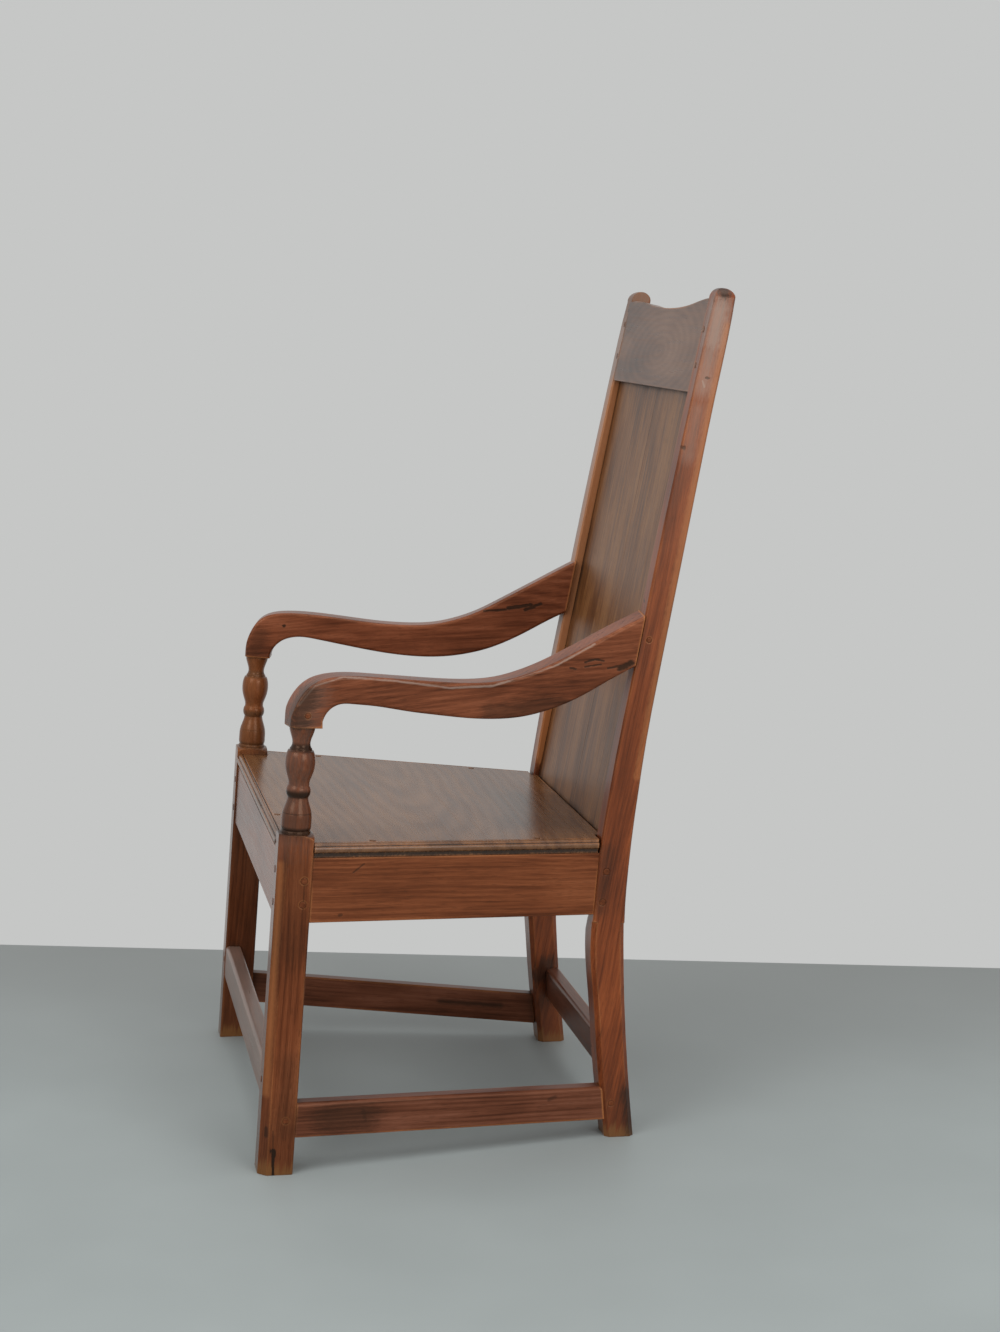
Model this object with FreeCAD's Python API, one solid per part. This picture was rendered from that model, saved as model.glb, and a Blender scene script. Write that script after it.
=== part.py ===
import FreeCAD, Part
import math
import os

# Wainscot armchair, joined and pegged in solid wood. Millimetres.
# The frame is laid out with the front legs upright: x runs to the sitter's
# left, y runs back from the front leg axis and z up from the leg's foot.
# At the end the whole frame leans back, and its feet are sawn to the floor.
# A name that ends in _z is a height and one that ends in _y a depth in this
# layout frame.

# Driving dimensions of the frame
frame_lean_deg = 3.2
plan_middle_y = 292.0
leg_axis_x = 305.0
leg_block_top_z = 450.0
post_outer_x = 241.0
rail_bottom_z = 336.0
rail_height = 85.0
seat_thick = 19.0

# Joinery shared by all the members
fit = 0.2                 # room on each face of a tenon in its mortise
tenon_end_room = 1.0      # glue room past the end of a tenon
bury = 7.0                # how far a blank runs into an upright before its shoulder is cut

# Front legs: a square below the seat, a turned arm support above it
leg_side = 45.0
leg_outer_chamfer = 11.0
arris = 1.5
pommel_drop = 10.5
pommel_bulge = 2.2
pommel_foot_radius = 19.0
arm_tenon_radius = 10.0

# Turned support: height above the block and radius up the axis, a table for each element
ring_turning = [(0.0, 19.0), (2.6, 19.0), (3.6, 18.0)]
lower_baluster_turning = [(3.6, 18.0), (5.2, 18.9), (12.0, 19.5), (20.5, 19.4), (30.8, 17.6),
                          (39.0, 14.8), (46.4, 13.3)]
bead_turning = [(46.4, 13.3), (48.4, 14.6), (54.6, 15.9), (59.4, 14.9), (61.6, 13.7)]
waist_turning = [(61.6, 13.7), (65.0, 13.6), (69.0, 14.4)]
upper_baluster_turning = [(69.0, 14.4), (75.5, 16.7), (84.0, 18.9), (92.0, 19.4), (101.0, 18.4),
                          (106.4, 16.4)]
quirk_turning = [(106.4, 16.4), (106.8, 14.9), (109.0, 14.4)]
neck_turning = [(109.0, 14.4), (112.5, 12.2), (117.0, 11.6), (123.5, 13.0), (130.5, 15.4),
                (135.4, 16.4), (138.0, 16.2)]
turning_elements = [ring_turning, lower_baluster_turning, bead_turning, waist_turning,
                    upper_baluster_turning, quirk_turning, neck_turning]
arm_seat_z = leg_block_top_z + neck_turning[-1][0]

# Back posts: one sawn and shaped piece each, front and back edges from foot to top.
# The foot is as stout as a leg; from under the seat rails up the inner side is thinned,
# and the outer side tapers a little to the ear.
post_width = 45.0
post_upper_width = 32.0
post_outer_taper = 6.0
post_knee_z = 292.0
post_knee_rise = 34.0
post_foot_chamfer = 6.0
post_chamfer = 2.0
post_front_edge = [(460.6, 14.0), (454.4, 50.0), (446.0, 96.0), (437.4, 150.0), (428.3, 215.0),
                   (418.6, 280.0), (416.9, 318.0), (417.5, 350.0), (418.0, 385.0),
                   (419.0, 425.0), (422.4, 470.0), (431.2, 560.0), (442.4, 650.0),
                   (454.0, 742.0), (466.2, 840.0), (478.8, 935.0), (493.0, 1038.0),
                   (506.6, 1130.0), (512.0, 1166.0)]
post_back_edge = [(501.2, 14.0), (495.2, 50.0), (487.0, 100.0), (478.3, 160.0), (470.8, 220.0),
                  (463.8, 290.0), (460.2, 345.0), (460.3, 400.0), (462.2, 455.0),
                  (465.6, 510.0), (470.0, 570.0), (479.6, 660.0), (492.2, 765.0),
                  (504.7, 870.0), (515.9, 965.0), (526.0, 1045.0), (536.2, 1120.0),
                  (541.0, 1168.5)]
post_crown = (527.5, 1180.2)
post_ear_drop = {"left": 0.0, "right": 6.5}     # the two ears aren't quite level
post_ear_radius = 15.0

# Seat rails
rail_thick = 26.0
rail_set_back = 2.5           # outer face of rails and side stretchers behind that of the uprights
rail_arris = 1.0
tenon_thick = 9.0
tenon_from_face = 5.5
rail_tenon_shoulder = 10.0
front_rail_tenon = 30.0
side_rail_front_tenon = 18.0
side_rail_back_tenon = 20.0
back_rail_tenon = 24.0
back_rail_front_y = 419.5
back_rail_thick = 34.0
back_rail_tenon_from_face = 21.5     # behind the panel's groove and the side rails' tenons

# Stretchers: the side pair runs under the front and back pair
stretcher_height = 46.0
stretcher_thick = 22.0
cross_stretcher_set_back = 1.0
stretcher_round = 5.0
stretcher_tenon_shoulder = 7.0
side_stretcher_bottom_z = 50.0
cross_stretcher_bottom_z = 96.0
front_stretcher_tenon = 28.0
side_stretcher_front_tenon = 28.0
side_stretcher_back_tenon = 26.0
back_stretcher_tenon = 28.0
back_stretcher_thick = 20.0
back_stretcher_middle_y = 472.5
back_stretcher_tilt_deg = 6.8

# Back panel: upright boards in grooves of the posts, the crest and the back rail
panel_thick = 9.0
panel_front_low = (431.4, 467.0)      # two points on the panel's front face
panel_front_high = (503.0, 1032.0)
panel_groove = 7.0
panel_side_room = 0.6
panel_joint_x = 18.0
board_tongue = 5.0
board_tongue_thick = 3.0

# Crest rail: height of the top edge above the lower edge, from the right end to the left
crest_bottom_z = 1041.5
crest_thick = 24.0
crest_set_back = 0.4
crest_tilt_deg = 8.4
crest_top_edge = [(-209.0, 117.6), (-178.0, 119.0), (-155.0, 118.9), (-135.0, 118.0),
                  (-112.0, 116.2), (-80.0, 113.4), (-40.0, 111.4), (0.0, 110.6), (40.0, 111.0),
                  (80.0, 112.7), (112.0, 115.2), (135.0, 117.8), (155.0, 120.4), (178.0, 123.2),
                  (209.0, 125.8)]
crest_tenon = 19.0
crest_tenon_low = 14.0
crest_tenon_high = 104.0

# Seat board, notched around the uprights, moulded on its front and side edges
seat_overhang = 3.5
seat_notch_room = 0.6
seat_back_gap = 2.5
seat_panel_gap = 0.4
# Section of the moulding: depth in from the edge and fall from the top face
moulding_quirk = [(9.6, 0.0), (9.0, 1.5), (8.2, 1.5), (7.6, 0.0)]
moulding_bead = [(5.6, 0.0), (3.6, 0.9), (2.9, 3.6)]
moulding_step = (2.9, 4.6)
moulding_ovolo = [(0.9, 4.6), (0.0, 7.4), (0.5, 11.0)]
moulding_cove = [(2.2, 12.4), (3.8, 14.6), (4.6, 19.0)]

# Arms: plan distance behind the support axis and height above the arm's seat on it.
# The two were sawn and worn apart, so each has its own edges from nose to post.
arm_width = 40.0
arm_arris = 4.0
arm_nose_radius = 9.0
arm_tenon_thick = 10.0
arm_tenon_shoulder = 14.0
arm_tenon_length = 24.0
arm_tenon_out = 6.0           # the tenon lies outside the arm's middle, clear of the panel's groove
arm_support_tenon_length = 28.0
arm_nose_x = {"left": -20.2, "right": -17.2}
arm_heel_x = 20.4
arm_join_up = 129.0           # where the arm's line in plan meets the face of the post
left_arm_top_edge = [(-20.0, 13.0), (-17.6, 24.0), (-10.4, 39.4), (0.0, 52.0), (12.5, 60.2),
                     (28.0, 65.0), (46.0, 67.4), (90.0, 66.8), (132.0, 64.6), (178.0, 62.3),
                     (214.0, 61.6), (244.0, 63.0), (267.0, 66.4), (295.0, 74.4), (321.0, 84.5),
                     (346.0, 96.4), (372.0, 109.9), (397.0, 123.6), (425.0, 138.8),
                     (462.0, 157.4), (486.0, 169.6)]
left_arm_under_edge = [(20.2, 4.0), (22.0, 11.5), (26.0, 19.6), (33.0, 26.6), (44.0, 31.2),
                       (60.0, 31.4), (90.0, 29.2), (132.0, 23.4), (178.0, 18.5), (217.0, 15.2),
                       (255.0, 14.5), (290.0, 17.4), (318.0, 23.6), (346.0, 33.0),
                       (375.0, 46.0), (407.0, 64.2), (438.0, 81.2), (462.0, 93.4),
                       (486.0, 105.0)]
right_arm_top_edge = [(-17.0, 13.0), (-14.6, 27.0), (-8.4, 43.0), (1.0, 56.6), (13.0, 64.4),
                      (28.0, 68.6), (46.0, 70.6), (90.0, 70.6), (132.0, 68.2), (178.0, 65.6),
                      (214.0, 65.6), (244.0, 67.6), (267.0, 71.4), (295.0, 79.8),
                      (321.0, 90.8), (346.0, 104.8), (372.0, 121.0), (397.0, 136.6),
                      (425.0, 154.2), (462.0, 177.2), (486.0, 191.6)]
right_arm_under_edge = [(20.6, 4.0), (23.0, 12.0), (29.0, 21.0), (38.0, 28.6), (48.0, 33.0),
                        (62.0, 35.6), (90.0, 33.8), (132.0, 28.2), (178.0, 22.6),
                        (217.0, 19.8), (255.0, 20.0), (290.0, 23.8), (318.0, 30.0),
                        (346.0, 39.2), (375.0, 52.8), (407.0, 71.6), (438.0, 91.2),
                        (462.0, 104.6), (486.0, 118.0)]

# Pegs
rail_peg_radius = 4.5
stretcher_peg_radius = 4.0
arm_peg_radius = 3.5
seat_peg_radius = 4.0
peg_proud = 0.5
peg_room = 0.08
rail_peg_length = 34.0
post_side_peg_length = 23.0
post_back_peg_length = 18.0
stretcher_peg_length = 30.0
crest_peg_length = 26.0
arm_peg_length = 30.0
arm_post_peg_length = 19.0
seat_peg_length = 44.0
leg_peg_y = 12.5
leg_side_pegs_z = [391.0, 360.0]
leg_front_pegs_z = [399.0, 356.0]
leg_front_peg_in = 14.0       # distance in from the shoulder of the front rail
post_side_pegs = [(430.0, 396.0), (428.0, 354.0)]
back_rail_pegs_z = [400.0, 358.0]
back_rail_peg_in = 12.0
side_stretcher_front_peg = (9.0, 73.0)
side_stretcher_back_peg = (463.0, 74.0)
cross_stretcher_peg_z = 119.0
cross_stretcher_peg_in = 13.0
crest_pegs_up = [36.0, 84.0]
crest_peg_in = 8.5
arm_support_peg_share = 0.57      # of the support tenon's length
seat_side_pegs_share = [0.2, 0.78]
seat_front_pegs_x = [-150.0, 150.0]

# Cutters run this far past what they cut
spare = leg_side + post_width

V = FreeCAD.Vector
ORIGIN = V(0, 0, 0)
X = V(1, 0, 0)
Y = V(0, 1, 0)
Z = V(0, 0, 1)


def box(x0, x1, y0, y1, z0, z1):
    return Part.makeBox(x1 - x0, y1 - y0, z1 - z0, V(x0, y0, z0))


def mirrored(shape):
    return shape.mirror(ORIGIN, X)


def line(a, b):
    return Part.LineSegment(a, b).toShape()


def arc(a, b, c):
    return Part.Arc(a, b, c).toShape()


def curve(points):
    """Smooth edge through the points; two points make a straight one."""
    if len(points) == 2:
        return line(*points)
    if len(points) == 3:
        return arc(*points)
    spline = Part.BSplineCurve()
    spline.interpolate(points)
    return spline.toShape()


def face_of(edges):
    return Part.Face(Part.Wire(edges))


def between(pairs, at):
    """Second value of a table at a first value, between its two nearest pairs."""
    for (a0, b0), (a1, b1) in zip(pairs, pairs[1:]):
        if a0 <= at <= a1:
            return b0 + (b1 - b0) * (at - a0) / (a1 - a0)
    raise ValueError("outside the table")


def depth_on(edge, z):
    """Depth of a post's edge table at a height."""
    return between([(height, depth) for depth, height in edge], z)


def section(x, y0, y1, z0, z1, radii):
    """Rectangle across local x with rounded corners: outer low, outer high, inner high, inner low."""
    ol, oh, ih, il = radii
    s = 1 - math.sqrt(0.5)

    def p(y, z):
        return V(x, y, z)

    edges = [
        line(p(y0, z0 + ol), p(y0, z1 - oh)),
        arc(p(y0, z1 - oh), p(y0 + s * oh, z1 - s * oh), p(y0 + oh, z1)),
        line(p(y0 + oh, z1), p(y1 - ih, z1)),
        arc(p(y1 - ih, z1), p(y1 - s * ih, z1 - s * ih), p(y1, z1 - ih)),
        line(p(y1, z1 - ih), p(y1, z0 + il)),
        arc(p(y1, z0 + il), p(y1 - s * il, z0 + s * il), p(y1 - il, z0)),
        line(p(y1 - il, z0), p(y0 + ol, z0)),
        arc(p(y0 + ol, z0), p(y0 + s * ol, z0 + s * ol), p(y0, z0 + ol)),
    ]
    return face_of(edges)


def member(run, thick, height, radii, blade_y, blade_thick, shoulder, tenons):
    """Blank, tenon blade and mortise cutter of a rail from local x zero to run, outer face on y zero."""
    blank = section(-bury, 0, thick, 0, height, radii).extrude(V(run + bury + bury, 0, 0))
    low, high = tenons
    blade = box(-low, run + high, blade_y, blade_y + blade_thick, shoulder, height - shoulder)
    room = low + tenon_end_room
    socket = box(-room, run + high + tenon_end_room, blade_y - fit, blade_y + blade_thick + fit,
                 shoulder - fit, height - shoulder + fit)
    return [blank, blade, socket]


def side_placed(shapes, x, y, z, angle_deg):
    """Turns local x to run back and inwards from a point on the left side of the frame."""
    placed = []
    for shape in shapes:
        turned = shape.copy()
        turned.rotate(ORIGIN, Z, 90.0 + angle_deg)
        turned.translate(V(x, y, z))
        placed.append(turned)
    return placed


def cross_placed(shapes, x, y, z, tilt_deg=0.0):
    """Stands a front or back member in place, tilted about its own lower edge."""
    placed = []
    for shape in shapes:
        turned = shape.copy()
        turned.rotate(ORIGIN, X, tilt_deg)
        turned.translate(V(x, y, z))
        placed.append(turned)
    return placed


def shouldered(blank, blade, uprights):
    """Cuts the shoulders of a blank to its uprights and leaves the tenons standing."""
    for upright in uprights:
        blank = blank.cut(upright)
    return blank.fuse(blade).removeSplitter()


def leg_blank():
    """Front leg before its mortises: square block, turned support and round tenon."""
    half = leg_side / 2
    c = leg_outer_chamfer
    corners = [V(half, -half + c, 0), V(half, half - arris, 0), V(half - arris, half, 0),
               V(-half + arris, half, 0), V(-half, half - arris, 0), V(-half, -half + arris, 0),
               V(-half + arris, -half, 0), V(half - c, -half, 0)]
    square = face_of([line(a, b) for a, b in zip(corners, corners[1:] + corners[:1])])
    foot_z = -spare
    square.translate(V(0, 0, foot_z))
    square = square.extrude(V(0, 0, leg_block_top_z - foot_z))
    # The lathe rounds the head of the block, which leaves an arch on each face
    reach = leg_side * math.sqrt(0.5) + arris
    pommel_low_z = leg_block_top_z - pommel_drop
    mid_r = (reach + pommel_foot_radius) / 2 + pommel_bulge
    mid_z = (pommel_low_z + leg_block_top_z) / 2 + pommel_bulge
    lathe = face_of([
        line(V(0, 0, foot_z), V(reach, 0, foot_z)),
        line(V(reach, 0, foot_z), V(reach, 0, pommel_low_z)),
        arc(V(reach, 0, pommel_low_z), V(mid_r, 0, mid_z), V(pommel_foot_radius, 0, leg_block_top_z)),
        line(V(pommel_foot_radius, 0, leg_block_top_z), V(0, 0, leg_block_top_z)),
        line(V(0, 0, leg_block_top_z), V(0, 0, foot_z)),
    ]).revolve(ORIGIN, Z, 360)
    block = square.common(lathe)
    edges = []
    for element in turning_elements:
        edges.append(curve([V(r, 0, leg_block_top_z + up) for up, r in element]))
    start_r = turning_elements[0][0][1]
    start_z = leg_block_top_z
    top_r = turning_elements[-1][-1][1]
    top_z = arm_seat_z
    tip_z = top_z + arm_support_tenon_length
    edges += [
        line(V(top_r, 0, top_z), V(arm_tenon_radius, 0, top_z)),
        line(V(arm_tenon_radius, 0, top_z), V(arm_tenon_radius, 0, tip_z)),
        line(V(arm_tenon_radius, 0, tip_z), V(0, 0, tip_z)),
        line(V(0, 0, tip_z), V(0, 0, start_z)),
        line(V(0, 0, start_z), V(start_r, 0, start_z)),
    ]
    turned = face_of(edges).revolve(ORIGIN, Z, 360)
    leg = block.fuse(turned).removeSplitter()
    leg.translate(V(leg_axis_x, 0, 0))
    return leg


post_inner_x = post_outer_x - post_upper_width
post_foot_inner_x = post_outer_x - post_width
post_shoulder_z = post_knee_z + post_knee_rise


def post_outer_at(z):
    """Where the outer face of a post is at a height: upright below, tapering above the knee."""
    rise = max(0.0, z - post_shoulder_z)
    return post_outer_x - post_outer_taper * rise / (post_crown[1] - post_shoulder_z)


def post_slab(inner_x, width, ear_drop):
    """The sawn outline of a back post across any width, with its ear lowered by the drop."""
    front = [V(inner_x, y, z) for y, z in post_front_edge]
    back = [V(inner_x, y, z) for y, z in post_back_edge]
    front[-1].z -= ear_drop
    back[-1].z -= ear_drop
    crown = V(inner_x, post_crown[0], post_crown[1] - ear_drop)
    side = face_of([curve(front), arc(front[-1], crown, back[-1]), curve(back[::-1]),
                    line(back[0], front[0])])
    return side.extrude(V(width, 0, 0))


def front_view(points, shape):
    """Trims a shape to an outline of x and z, seen from the front."""
    far_y = post_front_edge[0][0] - spare - spare
    corners = [V(x, far_y, z) for x, z in points]
    outline = face_of([line(a, b) for a, b in zip(corners, corners[1:] + corners[:1])])
    return shape.common(outline.extrude(V(0, spare * 5, 0)))


def eased(shape, size, least):
    """Shape with a chamfer on each of its long upright edges."""
    long_edges = []
    for edge in shape.Edges:
        box_of = edge.BoundBox
        if box_of.XLength < post_outer_taper + arris and box_of.ZLength > least:
            long_edges.append(edge)
    return shape.makeChamfer(size, long_edges)


def post_blank(ear_drop):
    """Back post before its mortises: stout foot, thinned upper part and rounded ear."""
    slab = post_slab(post_foot_inner_x, post_width, ear_drop)
    low_z = -spare
    high_z = post_crown[1] + spare
    foot = front_view([(post_outer_x, low_z), (post_outer_x, post_shoulder_z),
                       (post_inner_x, post_shoulder_z), (post_foot_inner_x, post_knee_z),
                       (post_foot_inner_x, low_z)], slab)
    foot = eased(foot, post_foot_chamfer, post_knee_z / 2)
    high_x = post_outer_at(high_z)
    upper = front_view([(post_outer_x, post_shoulder_z), (high_x, high_z),
                        (post_inner_x, high_z), (post_inner_x, post_shoulder_z)], slab)
    upper = eased(upper, post_chamfer, post_crown[1] / 2)
    post = foot.fuse(upper).removeSplitter()
    # The ear rounds down to the outside
    r = post_ear_radius
    crown_z = post_crown[1] - ear_drop
    s = 1 - math.sqrt(0.5)
    far_y = post_front_edge[0][0] - spare - spare
    x1, z1 = post_outer_at(crown_z), crown_z
    ear = face_of([
        line(V(x1 - r, far_y, z1), V(x1 - r, far_y, z1 + spare)),
        line(V(x1 - r, far_y, z1 + spare), V(x1 + spare, far_y, z1 + spare)),
        line(V(x1 + spare, far_y, z1 + spare), V(x1 + spare, far_y, z1 - r)),
        line(V(x1 + spare, far_y, z1 - r), V(x1, far_y, z1 - r)),
        arc(V(x1, far_y, z1 - r), V(x1 - s * r, far_y, z1 - s * r), V(x1 - r, far_y, z1)),
    ]).extrude(V(0, spare * 4, 0))
    return post.cut(ear)


leg_left = leg_blank()
post_left = post_blank(post_ear_drop["left"])
post_right = mirrored(post_blank(post_ear_drop["right"]))
uprights = {"front_leg_left": leg_left, "front_leg_right": mirrored(leg_left),
            "back_post_left": post_left, "back_post_right": post_right}
sockets = {name: [] for name in uprights}
pieces = {}

# Side seat rails and side stretchers, made on the left and mirrored
leg_outer_x = leg_axis_x + leg_side / 2
leg_inner_x = leg_axis_x - leg_side / 2
leg_back_y = leg_side / 2
leg_front_y = -leg_side / 2


def side_line(set_back, z):
    """Outer face of a side member: start point, length and plan angle."""
    x0 = leg_outer_x - set_back
    x1 = post_outer_x - set_back
    y1 = depth_on(post_front_edge, z)
    run = math.hypot(x0 - x1, y1 - leg_back_y)
    return x0, run, math.degrees(math.atan2(x0 - x1, y1 - leg_back_y))


def add_side_member(name, set_back, bottom_z, thick, height, radii, shoulder, tenons):
    x0, run, angle = side_line(set_back, bottom_z + height / 2)
    parts = member(run, thick, height, radii, tenon_from_face, tenon_thick, shoulder, tenons)
    blank, blade, socket = side_placed(parts, x0, leg_back_y, bottom_z, angle)
    left = shouldered(blank, blade, [leg_left, post_left])
    pieces[name + "_left"] = left
    pieces[name + "_right"] = mirrored(left)
    for upright in ("front_leg", "back_post"):
        sockets[upright + "_left"].append(socket)
        sockets[upright + "_right"].append(mirrored(socket))


soft = [rail_arris] * 4
worn = [rail_arris, stretcher_round, rail_arris * 2, rail_arris]
add_side_member("seat_rail", rail_set_back, rail_bottom_z, rail_thick, rail_height, soft,
                rail_tenon_shoulder, (side_rail_front_tenon, side_rail_back_tenon))
add_side_member("side_stretcher", rail_set_back, side_stretcher_bottom_z, stretcher_thick,
                stretcher_height, worn, stretcher_tenon_shoulder,
                (side_stretcher_front_tenon, side_stretcher_back_tenon))


def add_cross_member(name, half_run, y, bottom_z, thick, height, radii, shoulder, tenon,
                     upright, tilt_deg=0.0, blade_y=tenon_from_face):
    run = half_run + half_run
    parts = member(run, thick, height, radii, blade_y, tenon_thick, shoulder, (tenon, tenon))
    blank, blade, socket = cross_placed(parts, -half_run, y, bottom_z, tilt_deg)
    pair = [upright + "_left", upright + "_right"]
    pieces[name] = shouldered(blank, blade, [uprights[side] for side in pair])
    for side in pair:
        sockets[side].append(socket)


add_cross_member("seat_rail_front", leg_inner_x, leg_front_y + rail_set_back, rail_bottom_z,
                 rail_thick, rail_height, soft, rail_tenon_shoulder, front_rail_tenon, "front_leg")
add_cross_member("seat_rail_back", post_inner_x, back_rail_front_y, rail_bottom_z,
                 back_rail_thick, rail_height, soft, rail_tenon_shoulder, back_rail_tenon,
                 "back_post", blade_y=back_rail_tenon_from_face)
add_cross_member("front_stretcher", leg_inner_x, leg_front_y + cross_stretcher_set_back,
                 cross_stretcher_bottom_z, stretcher_thick, stretcher_height, worn,
                 stretcher_tenon_shoulder, front_stretcher_tenon, "front_leg")
tilt = math.radians(back_stretcher_tilt_deg)
back_stretcher_y = (back_stretcher_middle_y - back_stretcher_thick / 2
                    + stretcher_height / 2 * math.sin(tilt))
add_cross_member("back_stretcher", post_foot_inner_x, back_stretcher_y, cross_stretcher_bottom_z,
                 back_stretcher_thick, stretcher_height, worn, stretcher_tenon_shoulder,
                 back_stretcher_tenon, "back_post", back_stretcher_tilt_deg)

# Crest rail between the posts, its top edge a long hollow that rises into ears
crest_y = depth_on(post_front_edge, crest_bottom_z) + crest_set_back
crest_top = [V(x, 0, up) for x, up in crest_top_edge]
right_top = crest_top[0]
left_top = crest_top[-1]
end_x = post_inner_x + bury
crest_face = face_of([
    line(V(-end_x, 0, 0), V(-end_x, 0, right_top.z)),
    line(V(-end_x, 0, right_top.z), right_top),
    curve(crest_top),
    line(left_top, V(end_x, 0, left_top.z)),
    line(V(end_x, 0, left_top.z), V(end_x, 0, 0)),
    line(V(end_x, 0, 0), V(-end_x, 0, 0)),
])
crest_blank = crest_face.extrude(V(0, crest_thick, 0))
crest_tip_x = post_inner_x + crest_tenon
crest_blade = box(-crest_tip_x, crest_tip_x, tenon_from_face, tenon_from_face + tenon_thick,
                  crest_tenon_low, crest_tenon_high)
crest_socket_x = crest_tip_x + tenon_end_room
crest_socket = box(-crest_socket_x, crest_socket_x, tenon_from_face - fit,
                   tenon_from_face + tenon_thick + fit, crest_tenon_low - fit,
                   crest_tenon_high + fit)
crest_parts = cross_placed([crest_blank, crest_blade, crest_socket], 0, crest_y, crest_bottom_z,
                           -crest_tilt_deg)
pieces["crest_rail"] = shouldered(crest_parts[0], crest_parts[1],
                                  [post_left, post_right])
for name in ("back_post_left", "back_post_right"):
    sockets[name].append(crest_parts[2])

# Back panel: two boards edge to edge, tongue and groove, held in grooves all round
rail_top_z = rail_bottom_z + rail_height
(panel_y0, panel_z0), (panel_y1, panel_z1) = panel_front_low, panel_front_high
panel_slope = math.atan2(panel_y1 - panel_y0, panel_z1 - panel_z0)
panel_foot_z = rail_top_z - panel_groove
panel_foot_y = panel_y0 - (panel_z0 - panel_foot_z) * math.tan(panel_slope)
panel_half = post_inner_x + panel_groove - panel_side_room
panel_rise = (crest_bottom_z - panel_foot_z) / math.cos(panel_slope) + panel_groove
panel_top = panel_rise - tenon_end_room


def panel_placed(shape):
    return cross_placed([shape], 0, panel_foot_y, panel_foot_z, -math.degrees(panel_slope))[0]


tongue_y = (panel_thick - board_tongue_thick) / 2
tongue = box(panel_joint_x, panel_joint_x + board_tongue, tongue_y, tongue_y + board_tongue_thick,
             0, panel_top)
tongue_slot = box(panel_joint_x, panel_joint_x + board_tongue + fit, tongue_y - fit,
                  tongue_y + board_tongue_thick + fit, 0, panel_top)
board_right = box(-panel_half, panel_joint_x, 0, panel_thick, 0, panel_top).fuse(tongue)
board_left = box(panel_joint_x, panel_half, 0, panel_thick, 0, panel_top).cut(tongue_slot)
pieces["panel_board_right"] = panel_placed(board_right.removeSplitter())
pieces["panel_board_left"] = panel_placed(board_left)
groove_half = post_inner_x + panel_groove
groove = panel_placed(box(-groove_half, groove_half, -fit, panel_thick + fit, 0, panel_rise))
pieces["seat_rail_back"] = pieces["seat_rail_back"].cut(groove)
pieces["crest_rail"] = pieces["crest_rail"].cut(groove)
for name in ("back_post_left", "back_post_right"):
    sockets[name].append(groove)

# Seat board
seat_top_z = rail_top_z + seat_thick
x0, side_run, side_angle = side_line(rail_set_back - seat_overhang, rail_bottom_z + rail_height / 2)
side_slope = math.tan(math.radians(side_angle))
notch_x = leg_inner_x - seat_notch_room
notch_y = leg_back_y + seat_notch_room
seat_front_y = leg_front_y + rail_set_back - seat_overhang
seat_rear_y = depth_on(post_front_edge, rail_top_z) - seat_back_gap
seat_tail_x = post_inner_x - seat_notch_room
seat_tail_y = (panel_y0 - (panel_z0 - rail_top_z) * math.tan(panel_slope)) - seat_panel_gap


def seat_side_x(y):
    return x0 - (y - leg_back_y) * side_slope


half_plan = [(notch_x, seat_front_y), (notch_x, notch_y), (seat_side_x(notch_y), notch_y),
             (seat_side_x(seat_rear_y), seat_rear_y), (seat_tail_x, seat_rear_y),
             (seat_tail_x, seat_tail_y)]
plan = half_plan + [(-x, y) for x, y in half_plan[::-1]]
corners = [V(x, y, rail_top_z) for x, y in plan]
seat = face_of([line(a, b) for a, b in zip(corners, corners[1:] + corners[:1])])
seat = seat.extrude(V(0, 0, seat_thick))


def moulding_cutter(length):
    """What the moulding plane takes off: outside is y below zero, the top face z zero."""
    def p(point):
        return V(0, point[0], -point[1])

    clear = -seat_overhang
    up = seat_overhang
    bead = [p(q) for q in moulding_bead]
    step = p(moulding_step)
    ovolo = [p(q) for q in moulding_ovolo]
    cove = [p(q) for q in moulding_cove]
    low = V(0, clear, cove[-1].z)
    outer = V(0, clear, up)
    inner = V(0, bead[0].y, up)
    edges = [line(inner, bead[0]), arc(*bead), line(bead[-1], step), line(step, ovolo[0]),
             arc(*ovolo), line(ovolo[-1], cove[0]), arc(*cove), line(cove[-1], low),
             line(low, outer), line(outer, inner)]
    cutter = face_of(edges)
    quirk = [p(q) for q in moulding_quirk]
    vee = face_of([line(a, b) for a, b in zip(quirk, quirk[1:] + quirk[:1])])
    return Part.makeCompound([cutter.extrude(V(length, 0, 0)), vee.extrude(V(length, 0, 0))])


front_cutter = moulding_cutter(notch_x + notch_x)
front_cutter.translate(V(-notch_x, seat_front_y, seat_top_z))
side_cutter = side_placed([moulding_cutter(side_run + spare)], x0, leg_back_y, seat_top_z,
                          side_angle)[0]
for cutter in (front_cutter, side_cutter, mirrored(side_cutter)):
    for tool in cutter.Solids:
        seat = seat.cut(tool)
pieces["seat_board"] = seat

# Arms, from the turned supports back to the posts
arm_end_x = post_outer_x - arm_width / 2
arm_end_y = depth_on(post_front_edge, arm_seat_z + arm_join_up)
arm_angle = math.degrees(math.atan2(leg_axis_x - arm_end_x, arm_end_y))
arm_run = math.hypot(leg_axis_x - arm_end_x, arm_end_y)
arm_tables = {"left": (left_arm_top_edge, left_arm_under_edge),
              "right": (right_arm_top_edge, right_arm_under_edge)}
arm_tenon_middle_z = {}


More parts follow.
